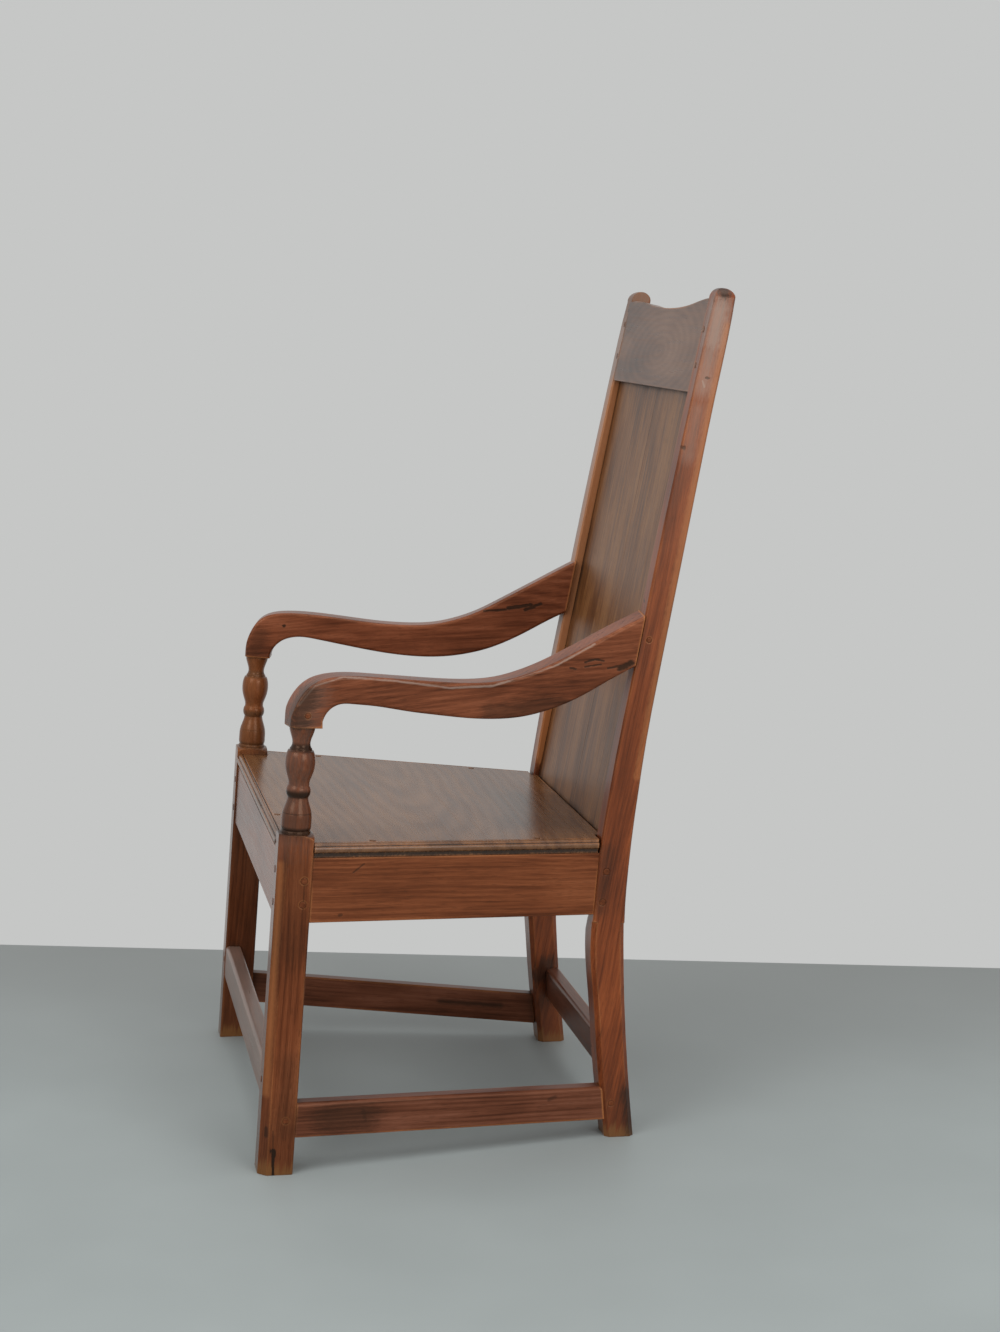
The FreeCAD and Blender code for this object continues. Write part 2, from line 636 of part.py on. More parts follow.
def nose_cutter(nose_x, sign):
    """What rounds one front corner of an arm in plan."""
    r = arm_nose_radius
    s = r * (1 - math.sqrt(0.5))
    side_y = sign * arm_width / 2
    in_y = side_y - sign * r
    out_y = side_y + sign * r

    def p(x, y):
        return V(x, y, arm_seat_z)

    corner = face_of([
        arc(p(nose_x, in_y), p(nose_x + s, side_y - sign * s), p(nose_x + r, side_y)),
        line(p(nose_x + r, side_y), p(nose_x + r, out_y)),
        line(p(nose_x + r, out_y), p(nose_x - r, out_y)),
        line(p(nose_x - r, out_y), p(nose_x - r, in_y)),
        line(p(nose_x - r, in_y), p(nose_x, in_y)),
    ])
    return corner.extrude(V(0, 0, spare))


def arm_blank(top_edge, under_edge, nose_x):
    """Arm before its joints: sawn outline, long arrises eased and the nose rounded."""
    top = [V(x, 0, arm_seat_z + up) for x, up in top_edge]
    under = [V(x, 0, arm_seat_z + up) for x, up in under_edge]
    nose = V(nose_x, 0, arm_seat_z)
    heel = V(arm_heel_x, 0, arm_seat_z)
    outline = face_of([line(nose, top[0]), curve(top), line(top[-1], under[-1]),
                       curve(under[::-1]), line(under[0], heel), line(heel, nose)])
    outline.translate(V(0, -arm_width / 2, 0))
    blank = outline.extrude(V(0, arm_width, 0))
    long_edges = []
    for edge in blank.Edges:
        if edge.BoundBox.YLength < arris and edge.BoundBox.XLength > arm_width * 2:
            long_edges.append(edge)
    blank = blank.makeFillet(arm_arris, long_edges)
    for sign in (1, -1):
        blank = blank.cut(nose_cutter(nose_x, sign))
    return blank


for side, (top_edge, under_edge) in arm_tables.items():
    low = arm_seat_z + between(under_edge, arm_run) + arm_tenon_shoulder
    high = arm_seat_z + between(top_edge, arm_run) - arm_tenon_shoulder
    arm_tenon_middle_z[side] = (low + high) / 2
    tenon_in_y = -arm_tenon_out + arm_tenon_thick / 2
    tenon_out_y = tenon_in_y - arm_tenon_thick
    tip = arm_run + arm_tenon_length
    blade = box(arm_run - bury, tip, tenon_out_y, tenon_in_y, low, high)
    socket = box(arm_run - bury, tip + tenon_end_room, tenon_out_y - fit, tenon_in_y + fit,
                 low - fit, high + fit)
    blank = arm_blank(top_edge, under_edge, arm_nose_x[side])
    blank, blade, socket = side_placed([blank, blade, socket], leg_axis_x, 0, 0, arm_angle)
    # The blank runs past the face of the post and is trimmed to it over its whole width
    blank = blank.cut(post_slab(post_inner_x - spare, post_width + spare + spare,
                                post_ear_drop[side]))
    blank = sorted(blank.Solids, key=lambda solid: solid.Volume)[-1]
    bore = Part.makeCylinder(arm_tenon_radius + fit, arm_support_tenon_length + tenon_end_room,
                             V(leg_axis_x, 0, arm_seat_z))
    arm = blank.fuse(blade).removeSplitter().cut(bore)
    if side == "right":
        arm = mirrored(arm)
        socket = mirrored(socket)
    pieces["arm_" + side] = arm
    sockets["back_post_" + side].append(socket)

for name, blank in uprights.items():
    for socket in sockets[name]:
        blank = blank.cut(socket)
    pieces[name] = blank

# Pegs, driven in from an outer face through the tenon; each has its own blind hole
pegs = {}


def drive(group, point, into, radius, length, targets):
    """One peg from a point on a face, with its hole in every piece that it passes."""
    start = point - into * peg_proud
    peg = Part.makeCylinder(radius, length + peg_proud, start, into)
    hole = Part.makeCylinder(radius + peg_room, length + peg_room + peg_proud, start, into)
    pegs.setdefault(group, []).append(peg)
    for target in targets:
        pieces[target] = pieces[target].cut(hole)


for side, sign in (("left", 1), ("right", -1)):
    leg = "front_leg_" + side
    post = "back_post_" + side
    inwards = V(-sign, 0, 0)
    for z in leg_side_pegs_z:
        drive("rail_pegs", V(sign * leg_outer_x, leg_peg_y, z), inwards, rail_peg_radius,
              rail_peg_length, [leg, "seat_rail_" + side])
    for z in leg_front_pegs_z:
        drive("rail_pegs", V(sign * (leg_inner_x + leg_front_peg_in), leg_front_y, z), Y,
              rail_peg_radius, rail_peg_length, [leg, "seat_rail_front"])
    for y, z in post_side_pegs:
        drive("rail_pegs", V(sign * post_outer_at(z), y, z), inwards, rail_peg_radius,
              post_side_peg_length, [post, "seat_rail_" + side])
    for z in back_rail_pegs_z:
        back_y = depth_on(post_back_edge, z)
        drive("rail_pegs", V(sign * (post_inner_x + back_rail_peg_in), back_y, z), -Y,
              rail_peg_radius, post_back_peg_length, [post, "seat_rail_back"])
    y, z = side_stretcher_front_peg
    drive("stretcher_pegs", V(sign * leg_outer_x, y, z), inwards, stretcher_peg_radius,
          stretcher_peg_length, [leg, "side_stretcher_" + side])
    y, z = side_stretcher_back_peg
    drive("stretcher_pegs", V(sign * post_outer_x, y, z), inwards, stretcher_peg_radius,
          stretcher_peg_length, [post, "side_stretcher_" + side])
    z = cross_stretcher_peg_z
    drive("stretcher_pegs", V(sign * (leg_inner_x + cross_stretcher_peg_in), leg_front_y, z), Y,
          stretcher_peg_radius, stretcher_peg_length, [leg, "front_stretcher"])
    back_y = depth_on(post_back_edge, z)
    drive("stretcher_pegs", V(sign * (post_foot_inner_x + cross_stretcher_peg_in), back_y, z), -Y,
          stretcher_peg_radius, stretcher_peg_length, [post, "back_stretcher"])
    lean = math.radians(crest_tilt_deg)
    square_in = V(0, math.cos(lean), -math.sin(lean))
    for up in crest_pegs_up:
        z = crest_bottom_z + up * math.cos(lean)
        front_y = depth_on(post_front_edge, z)
        drive("crest_pegs", V(sign * (post_inner_x + crest_peg_in), front_y, z), square_in,
              stretcher_peg_radius, crest_peg_length, [post, "crest_rail"])
    z = arm_tenon_middle_z[side]
    y = depth_on(post_front_edge, z) + arm_tenon_length / 2
    drive("arm_pegs", V(sign * post_outer_at(z), y, z), inwards, arm_peg_radius,
          arm_post_peg_length, [post, "arm_" + side])
    turn = math.radians(arm_angle)
    across = V(-sign * math.cos(turn), -math.sin(turn), 0)
    z = arm_seat_z + arm_support_tenon_length * arm_support_peg_share
    at = V(sign * leg_axis_x, 0, z) - across * (arm_width / 2)
    drive("arm_pegs", at, across, arm_peg_radius, arm_peg_length, [leg, "arm_" + side])
    for share in seat_side_pegs_share:
        y = notch_y + (seat_rear_y - notch_y) * share
        x = seat_side_x(y) - seat_overhang - rail_thick / 2
        drive("seat_pegs", V(sign * x, y, seat_top_z), -Z, seat_peg_radius, seat_peg_length,
              ["seat_board", "seat_rail_" + side])
for x in seat_front_pegs_x:
    y = leg_front_y + rail_set_back + rail_thick / 2
    drive("seat_pegs", V(x, y, seat_top_z), -Z, seat_peg_radius, seat_peg_length,
          ["seat_board", "seat_rail_front"])
for group, solids in pegs.items():
    pieces[group] = Part.makeCompound(solids)

# The frame leans back on its feet, which are sawn level with the floor
floor_cut = box(-spare * 10, spare * 10, -spare * 20, spare * 20, -spare * 10, 0)
grounded = list(uprights)
os.makedirs("parts", exist_ok=True)
for name, shape in pieces.items():
    placed = shape.copy()
    placed.rotate(ORIGIN, X, -frame_lean_deg)
    placed.translate(V(0, -plan_middle_y, 0))
    if name in grounded:
        placed = placed.cut(floor_cut)
    if len(placed.Solids) == 1:
        placed = placed.Solids[0]
    placed.exportStep("parts/" + name + ".step")
    print(name, len(placed.Solids), placed.isValid(), round(placed.Volume))
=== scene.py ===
import math
from dataclasses import dataclass, field, replace

import bpy
from mathutils import Matrix, Vector


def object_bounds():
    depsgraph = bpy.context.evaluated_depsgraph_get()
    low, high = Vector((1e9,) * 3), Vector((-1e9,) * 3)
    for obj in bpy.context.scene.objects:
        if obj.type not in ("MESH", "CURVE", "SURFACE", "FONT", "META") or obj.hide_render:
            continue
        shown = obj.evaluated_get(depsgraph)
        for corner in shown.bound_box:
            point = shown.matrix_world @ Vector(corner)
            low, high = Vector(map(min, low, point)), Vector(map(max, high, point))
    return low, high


bl_info = {
    "name": "Wainscot armchair",
    "version": (1, 0, 0),
    "blender": (4, 5, 0),
    "location": "View3D > Sidebar > Armchair",
    "description": "Gives a joined wainscot armchair its old polished wood, and a plain room",
    "category": "Material",
}

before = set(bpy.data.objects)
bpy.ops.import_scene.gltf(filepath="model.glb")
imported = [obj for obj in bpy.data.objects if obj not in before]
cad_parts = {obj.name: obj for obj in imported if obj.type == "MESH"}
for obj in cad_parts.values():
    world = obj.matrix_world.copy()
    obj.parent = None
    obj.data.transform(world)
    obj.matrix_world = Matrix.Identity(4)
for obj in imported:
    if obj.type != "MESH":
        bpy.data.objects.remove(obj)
cad_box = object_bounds()


def tone(red, green, blue):
    """A colour read off a screen, from 0 to 255, as the linear one that shaders take."""
    linear = []
    for part in (red, green, blue):
        share = part / 255
        linear.append(share / 12.92 if share <= 0.04045 else ((share + 0.055) / 1.055) ** 2.4)
    return tuple(linear)


def colour(name, description, default):
    """A property for a colour."""
    return bpy.props.FloatVectorProperty(name=name, description=description, subtype="COLOR",
                                         size=3, min=0.0, max=1.0, default=default)


def length(name, description, default):
    """A property for a length in metres."""
    return bpy.props.FloatProperty(name=name, description=description, unit="LENGTH",
                                   subtype="DISTANCE", min=0.0, default=default)


def share(name, description, default):
    """A property for a share, from 0 to 1."""
    return bpy.props.FloatProperty(name=name, description=description, subtype="FACTOR",
                                   min=0.0, max=1.0, default=default)


class ChairWoodTones(bpy.types.PropertyGroup):
    """Colours of the polished wood, piece by piece."""
    leg: colour("Front legs", "Middle tone of the two turned front legs", tone(114, 60, 34))
    post: colour("Back posts", "Middle tone of the two back posts", tone(124, 59, 26))
    rail: colour("Seat rails", "Middle tone of the rails under the seat", tone(120, 65, 38))
    stretcher: colour("Stretchers", "Middle tone of the four stretchers", tone(102, 58, 41))
    crest: colour("Crest", "Middle tone of the crest rail", tone(110, 76, 56))
    panel: colour("Back panel", "Middle tone of the two panel boards", tone(122, 80, 46))
    seat: colour("Seat", "Middle tone of the seat board", tone(112, 76, 48))
    arm: colour("Arms", "Middle tone of the two arms", tone(118, 64, 41))
    ruddy: colour("Ruddy", "Red-brown of thick old polish", tone(100, 50, 30))
    # This tone is rubbed polish, and also painted highlight on the arrises, the left leg's front arris
    # and the right post's inner face
    worn: colour("Worn arrises", "Where hands and feet have rubbed the polish off", tone(184, 118, 70))
    # This tone is painted sheen and painted highlight, laid where the polish would catch the light
    bloom: colour("Bloom", "Polish gone pale and grey with light and handling", tone(172, 154, 142))
    raw: colour("Feet", "Bare wood at the feet, where the polish never lasted", tone(128, 88, 50))
    # This tone is grime in cracks, knots and the grip, and also painted shade in corners, turned
    # hollows, the seat's moulding, under the left arm and on the seat's rear
    grime: colour("Grime", "Wax and dust in the corners, knots and cracks", tone(30, 20, 15))


class ChairWoodFigure(bpy.types.PropertyGroup):
    """Sizes of the grain and of the wear."""
    ring: length("Growth ring", "Distance from one growth ring to the next", 0.006)
    streak_long: length("Streak length", "Length of a streak along the grain", 0.24)
    streak_wide: length("Streak width", "Width of a streak across the grain", 0.0048)
    fibre_wide: length("Fibre width", "Width of the finest lines across the grain", 0.0013)
    pore_long: length("Pore length", "Length of an open pore along the grain", 0.014)
    patch: length("Patch", "Size of the patches that polish and hands have left", 0.11)
    sway: length("Sway", "How far the grain wanders from its line", 0.02)
    arris: length("Arris", "Roundness of the worn arrises", 0.002)
    # The rubbed band along an arris is also painted highlight
    wear: length("Wear", "Width of the rubbed band along an arris", 0.005)
    # The grime in corners is also painted shade
    dirt: length("Dirt", "How far the grime reaches out of a corner", 0.018)
    foot: length("Foot", "Height to which the feet are bare", 0.022)


class ChairRoom(bpy.types.PropertyGroup):
    """The plain room round the chair."""
    backdrop: colour("Backdrop", "Colour of the plain backdrop", tone(198, 199, 198))
    floor: colour("Floor", "Colour of the painted floor", tone(164, 172, 171))
    fill: share("Fill", "Even light from all round", 0.48)
    lamp: bpy.props.FloatProperty(name="Lamp", description="Power of which each lamp has its share",
                                  unit="POWER", min=0.0, default=46.0)
    lamp_wide: length("Lamp width", "Width of each soft lamp", 2.0)
    far_edge: length("Far edge", "Distance of the floor's far edge behind the chair", 0.718)
    far_turn: bpy.props.FloatProperty(name="Far edge turn", unit="ROTATION", subtype="ANGLE",
                                      description="How far the floor's far edge turns in plan",
                                      default=math.radians(11.7))


class ChairCamera(bpy.types.PropertyGroup):
    """The photograph's viewpoint."""
    place: bpy.props.FloatVectorProperty(name="Place", description="Where the camera stands",
                                         unit="LENGTH", subtype="XYZ", size=3,
                                         default=(3.38635, -0.61167, 1.13330))
    turn: bpy.props.FloatProperty(name="Turn", description="Turn from the chair's own side view",
                                  unit="ROTATION", subtype="ANGLE", default=0.19441)
    dip: bpy.props.FloatProperty(name="Dip", description="How far the camera looks down",
                                 unit="ROTATION", subtype="ANGLE", default=0.14901)
    roll: bpy.props.FloatProperty(name="Roll", description="How far the camera leans over",
                                  unit="ROTATION", subtype="ANGLE", default=0.02101)
    lens: bpy.props.FloatProperty(name="Lens", description="Focal length on a 36 mm frame",
                                  unit="CAMERA", min=1.0, default=66.71)


# Places and lengths below are metres in the chair's own frame: x to the sitter's left, y to the back
# and z up from the floor

# The ways in which the grain runs. Those of paired pieces are the left one's
ACROSS = (1.0, 0.0, 0.0)
BACKWARD = (0.0, 1.0, 0.0)
UPWARD = (0.0, 0.0, 1.0)
UP_LEG = (0.0, 0.056, 0.998)
UP_POST = (0.0, 0.176, 0.984)
UP_PANEL = (0.0, 0.181, 0.983)
ALONG_RAIL = (-0.21, 0.976, -0.055)
ALONG_STRETCHER = (-0.19, 0.98, -0.055)
ALONG_ARM = (-0.22, 0.97, 0.08)

# Tint of a shine that keeps the colour of its light
CLEAR = (1.0, 1.0, 1.0)


@dataclass
class Mark:
    """A crack, stain, rubbed place, painted highlight, painted sheen or painted shade along a line
    between two points, half its width to each side.
    """
    start: tuple
    end: tuple
    half: float
    strength: float = 0.9
    soft: float = 0.3
    tone: str = "grime"


@dataclass
class Hollow:
    """Grime and painted shade round a turned piece: where it lies along the piece, half its width, and
    its strength.
    """
    middle: float
    half: float
    strength: float


@dataclass
class Board:
    """How a piece was cut from its plank and what age has done to it."""
    node: str
    tone: str
    grain: tuple
    # A point on the tree's heart line, and that line's two turns away from the grain
    heart: tuple = (0.0, -0.04, 0.06)
    tilt: tuple = (0.0, 0.0)
    # Width of a growth ring, as times of the usual one
    ring: float = 1.0
    # How strongly rings, streaks and patches show
    ring_share: float = 0.35
    streak_share: float = 0.8
    patch_share: float = 0.75
    # Above zero the piece is lighter than its tone, below zero darker
    shade: float = 0.0
    # The surface: strength of its relief, roughness, index of refraction and tint of its shine
    relief: float = 0.3
    roughness: float = 0.34
    ior: float = 1.42
    tint: tuple = (1.0, 0.62, 0.42)
    # Strength of the rubbed arrises and their painted highlight, and how high the patches' noise is
    # where the rubbing starts
    wear: float = 0.75
    rubbed_above: float = 0.36
    # Strength of the grime and painted shade in corners
    dirt: float = 0.8
    # Whether the piece stands on the floor and is bare there
    foot: bool = False
    marks: list = field(default_factory=list)
    hollows: list = field(default_factory=list)


# Places of the colours among the sockets of a Mix node
MIX_FIRST, MIX_SECOND, MIX_RESULT = 6, 7, 2


class Wiring:
    """Adds shader nodes to a material and joins them."""

    def __init__(self, tree):
        self.tree = tree

    def feed(self, socket, value):
        """Joins the socket to another one, or sets its value."""
        if isinstance(value, bpy.types.NodeSocket):
            self.tree.links.new(value, socket)
        else:
            socket.default_value = value

    def node(self, kind, inputs=None, **settings):
        made = self.tree.nodes.new(kind)
        for name, value in settings.items():
            setattr(made, name, value)
        for name, value in (inputs or {}).items():
            self.feed(made.inputs[name], value)
        return made

    def maths(self, operation, first, second=0.0, third=0.0):
        made = self.node("ShaderNodeMath", operation=operation)
        for socket, value in zip(made.inputs, (first, second, third)):
            self.feed(socket, value)
        return made.outputs[0]

    def span(self, value, low, high):
        """Zero at low, one at high, and a smooth step between them."""
        made = self.node("ShaderNodeMapRange", {"Value": value, "From Min": low, "From Max": high},
                         interpolation_type="SMOOTHSTEP")
        return made.outputs["Result"]

    def mixed(self, amount, first, second):
        """The first colour, covered by that amount of the second."""
        made = self.node("ShaderNodeMix", data_type="RGBA")
        self.feed(made.inputs[0], amount)
        for index, value in ((MIX_FIRST, first), (MIX_SECOND, second)):
            if not isinstance(value, bpy.types.NodeSocket):
                value = (*value[:3], 1.0)
            self.feed(made.inputs[index], value)
        return made.outputs[MIX_RESULT]

    def noise(self, vector, sizes, detail=2.0, roughness=0.5, distortion=0.0):
        """A cloudy pattern with lumps of these sizes."""
        made = self.node("ShaderNodeTexNoise",
                         {"Vector": self.scaled(vector, sizes), "Scale": 1.0, "Detail": detail,
                          "Roughness": roughness, "Distortion": distortion})
        return made.outputs["Fac"]

    def vector(self, operation, *values, times=None):
        made = self.node("ShaderNodeVectorMath", operation=operation)
        for socket, value in zip(made.inputs, values):
            self.feed(socket, value)
        if times is not None:
            self.feed(made.inputs["Scale"], times)
        plain = operation in ("DOT_PRODUCT", "DISTANCE")
        return made.outputs["Value" if plain else "Vector"]

    def scaled(self, vector, sizes):
        """The vector divided by sizes, so that a pattern is that large."""
        return self.vector("DIVIDE", vector, sizes)


# Sizes of patterns, along the grain and across it, and those of a patch as times of its own size
SWAY_SIZE = (0.35, 0.1, 0.1)
CRUMB_SIZE = (0.007, 0.0016, 0.0016)
DIMPLE_SIZE = (0.08, 0.02, 0.02)
PATCH_SHAPE = (2.0, 0.6, 0.6)

# The value round which every pattern varies
MEAN = 0.5

# Growth rings: their width in the wave texture at a scale of 1, and how they waver
RING_UNIT = 0.314
RING_WAVER = 5.0
RING_WAVER_SCALE = 0.1

# How strongly each pattern moves the grain between dark and light
RING_WEIGHT = 0.45
STREAK_WEIGHT = 1.5
FIBRE_WEIGHT = 0.85
PATCH_WEIGHT = 2.3

# From dark grain to light: the place along the scale, and times of the piece's red, green and blue
TONE_STEPS = ((0.0, (0.34, 0.28, 0.26)),
              (0.34, (0.74, 0.68, 0.64)),
              (0.62, (1.12, 1.12, 1.1)),
              (1.0, (1.55, 1.75, 1.9)))

# Open pores: where their noise starts to show and where it is full, their strength and their shade
PORE_SPAN = (0.60, 0.72)
PORE_WEIGHT = 0.5
PORE_SHADE = -0.7

# Arrises: how well a face agrees with its rounded self where the rubbing and its painted highlight
# start and where they are full, and how far the patches' noise rises between the two
ARRIS_SPAN = (0.99, 0.88)
RUB_SPREAD = 0.24

# Corners: how open they are where the grime and painted shade start and where they are thickest,
# and how ragged they are
CORNER_SPAN = (0.85, 0.3)
CORNER_RAGGED = 0.8

# Feet, as times of the height to which they are bare, and how strongly the darkening low down
# and the bare wood show
FOOT_RAGGED = 3.0
LOW_DARK_START = 6.0
BARE_FULL = 0.3
LOW_DARK_WEIGHT = 0.35
BARE_WEIGHT = 0.6

# How streaks and crumbs break up the edge of a mark, and the share of a hollow that is full of grime
# and painted shade
STREAK_RAGGED = 1.6
CRUMB_RAGGED = 1.4
HOLLOW_FULL = 0.2

# The surface: how much rougher streaks and the corners' grime and painted shade are, and how high
# the parts of the relief stand
STREAK_ROUGH = 0.16
DIRT_ROUGH = 0.2
STREAK_RELIEF = 0.25
FIBRE_RELIEF = 0.15
MARK_RELIEF = -0.6
RELIEF_DEPTH = 0.0011

BEVEL_SAMPLES = 6
CORNER_SAMPLES = 8


@dataclass
class Grain:
    """Sockets with a place along the grain, straight and swayed, and the patterns that run there."""
    straight: bpy.types.NodeSocket
    swayed: bpy.types.NodeSocket
    streaks: bpy.types.NodeSocket
    fibres: bpy.types.NodeSocket
    pores: bpy.types.NodeSocket
    patches: bpy.types.NodeSocket


def lighter(base, amount):
    """The colour moved towards light, or towards dark where the amount is below zero."""
    return tuple(min(1.0, part * (1.0 + amount)) for part in base)


def read_grain(w, place, turn):
    """The patterns of the wood, for a piece that this turn lays with its grain along X."""
    figure = bpy.context.scene.chair_figure
    turned = w.node("ShaderNodeMapping", {"Vector": place, "Rotation": turn.to_euler()})
    straight = turned.outputs["Vector"]
    # A slow sway, so that no streak runs dead straight
    drift = w.node("ShaderNodeTexNoise", {"Vector": w.scaled(straight, SWAY_SIZE), "Scale": 1.0,
                                          "Detail": 1.0}).outputs["Color"]
    shift = w.vector("SUBTRACT", drift, (MEAN, MEAN, MEAN))
    swayed = w.vector("MULTIPLY_ADD", shift, (0.0, figure.sway, figure.sway), straight)
    streak_size = (figure.streak_long, figure.streak_wide, figure.streak_wide)
    fibre_size = (figure.streak_long / 3, figure.fibre_wide, figure.fibre_wide)
    pore_size = (figure.pore_long, figure.fibre_wide / 2, figure.fibre_wide / 2)
    patch_size = tuple(figure.patch * times for times in PATCH_SHAPE)
    return Grain(straight, swayed,
                 streaks=w.noise(swayed, streak_size, detail=3.0, roughness=0.6, distortion=0.2),
                 fibres=w.noise(swayed, fibre_size, roughness=0.6),
                 pores=w.noise(straight, pore_size, detail=0.0),
                 patches=w.noise(straight, patch_size, detail=3.0, roughness=0.6))


def growth_rings(w, board, grain, turn):
    """Rings round the heart of the tree, which lies at an angle to the piece."""
    figure = bpy.context.scene.chair_figure
    heart = w.node("ShaderNodeMapping",
                   {"Vector": grain.swayed, "Location": tuple(turn @ Vector(board.heart)),
                    "Rotation": (0.0, *board.tilt)}, vector_type="TEXTURE")
    rings = w.node("ShaderNodeTexWave",
                   {"Vector": heart.outputs["Vector"],
                    "Scale": RING_UNIT / (figure.ring * board.ring), "Distortion": RING_WAVER,
                    "Detail": 2.0, "Detail Scale": RING_WAVER_SCALE * board.ring,
                    "Detail Roughness": 0.5},
                   wave_type="RINGS", rings_direction="X", wave_profile="SIN")
    return rings.outputs["Fac"]


def tone_scale(w, tally, base):
    """Dark, middle and light grain of one tone, along a scale from 0 to 1."""
    made = w.node("ShaderNodeValToRGB", {"Fac": tally})
    steps = made.color_ramp.elements
    for at, times in TONE_STEPS[1:-1]:
        steps.new(at)
    for step, (at, times) in zip(steps, TONE_STEPS):
        step.position = at
        step.color = (*(min(1.0, part * much) for part, much in zip(base, times)), 1.0)
    return made.outputs["Color"]


def bare_wood(w, board, base, grain, turn):
    """Colour of the bare grain."""
    tally = MEAN
    for part, weight in ((growth_rings(w, board, grain, turn), board.ring_share * RING_WEIGHT),
                         (grain.streaks, board.streak_share * STREAK_WEIGHT),
                         (grain.fibres, board.streak_share * FIBRE_WEIGHT),
                         (grain.patches, board.patch_share * PATCH_WEIGHT)):
        tally = w.maths("MULTIPLY_ADD", w.maths("SUBTRACT", part, MEAN), weight, tally)
    body = tone_scale(w, tally, base)
    pores = w.maths("MULTIPLY", w.span(grain.pores, *PORE_SPAN), PORE_WEIGHT * board.streak_share)
    return w.mixed(pores, body, lighter(base, PORE_SHADE))


def rub_and_highlight_arrises(w, board, body, grain):
    """Rubs the polish through along the arrises, here and there, and lightens them as painted highlight.
    """
    scene = bpy.context.scene
    rounded = w.node("ShaderNodeBevel", {"Radius": scene.chair_figure.wear}, samples=BEVEL_SAMPLES)
    facing = w.node("ShaderNodeNewGeometry").outputs["Normal"]
    agrees = w.vector("DOT_PRODUCT", rounded.outputs["Normal"], facing)
    here = w.span(grain.patches, board.rubbed_above, board.rubbed_above + RUB_SPREAD)
    rub_and_highlight = w.maths("MULTIPLY", w.span(agrees, *ARRIS_SPAN), here)
    rub_and_highlight = w.maths("MULTIPLY", rub_and_highlight, board.wear)
    return w.mixed(rub_and_highlight, body, lighter(scene.chair_tones.worn, board.shade))


def corner_dirt(w, board, grain):
    """How thick grime and painted shade lie in the corners."""
    reach = bpy.context.scene.chair_figure.dirt
    open_sky = w.node("ShaderNodeAmbientOcclusion", {"Distance": reach}, samples=CORNER_SAMPLES)
    ragged = w.maths("SUBTRACT", grain.patches, MEAN)
    shut = w.maths("MULTIPLY_ADD", ragged, CORNER_RAGGED, open_sky.outputs["AO"])
    return w.maths("MULTIPLY", w.span(shut, *CORNER_SPAN), board.dirt)


def wear_feet(w, body, place, grain):
    """Darker low on a leg, and bare wood where it meets the floor."""
    tones = bpy.context.scene.chair_tones
    foot = bpy.context.scene.chair_figure.foot
    height = w.node("ShaderNodeSeparateXYZ", {"Vector": place}).outputs["Z"]
    ragged = w.maths("SUBTRACT", grain.streaks, MEAN)
    height = w.maths("MULTIPLY_ADD", ragged, foot * FOOT_RAGGED, height)
    darker_low = w.span(height, foot * LOW_DARK_START, foot)
    body = w.mixed(w.maths("MULTIPLY", darker_low, LOW_DARK_WEIGHT), body, tones.grime)
    bare = w.span(height, foot, foot * BARE_FULL)
    return w.mixed(w.maths("MULTIPLY", bare, BARE_WEIGHT), body, tones.raw)


def mark_cover(w, place, mark, ragged):
    """How strongly a mark covers the surface, from 0 to 1."""
    run = Vector(mark.end) - Vector(mark.start)
    away = w.vector("SUBTRACT", place, mark.start)
    part = w.vector("DOT_PRODUCT", away, tuple(run / run.length_squared))
    part = w.maths("MINIMUM", w.maths("MAXIMUM", part, 0.0), 1.0)
    nearest = w.vector("SCALE", tuple(run), times=part)
    gap = w.vector("DISTANCE", away, nearest)
    reach = w.maths("MULTIPLY_ADD", gap, 1.0 / mark.half, ragged)
    inside = w.span(reach, 1.0 + mark.soft, 1.0 - mark.soft)
    return w.maths("MULTIPLY", inside, mark.strength)


def hollow_cover(w, grain, hollow):
    """How strongly grime and painted shade cover a turned hollow, from 0 to 1."""
    along = w.node("ShaderNodeSeparateXYZ", {"Vector": grain.straight}).outputs["X"]
    gap = w.maths("ABSOLUTE", w.maths("SUBTRACT", along, hollow.middle))
    inside = w.span(gap, hollow.half, hollow.half * HOLLOW_FULL)
    return w.maths("MULTIPLY", inside, hollow.strength)


def lay_marks(w, board, body, place, grain):
    """Stains, rubbed places, knots, holes, cracks, and painted highlight, sheen and shade. Also tells
    how strongly grime and painted shade cover the place.
    """
    crumbs = w.noise(grain.straight, CRUMB_SIZE)
    ragged = w.maths("MULTIPLY_ADD", crumbs, CRUMB_RAGGED, -MEAN * (STREAK_RAGGED + CRUMB_RAGGED))
    ragged = w.maths("MULTIPLY_ADD", grain.streaks, STREAK_RAGGED, ragged)
    for name in sorted({"grime"} | {mark.tone for mark in board.marks}):
        cover = 0.0
        for mark in board.marks:
            if mark.tone == name:
                cover = w.maths("MAXIMUM", cover, mark_cover(w, place, mark, ragged))
        if name == "grime":
            for hollow in board.hollows:
                cover = w.maths("MAXIMUM", cover, hollow_cover(w, grain, hollow))
            grime_and_shade_cover = cover
        body = w.mixed(cover, body, getattr(bpy.context.scene.chair_tones, name))
    return body, grime_and_shade_cover


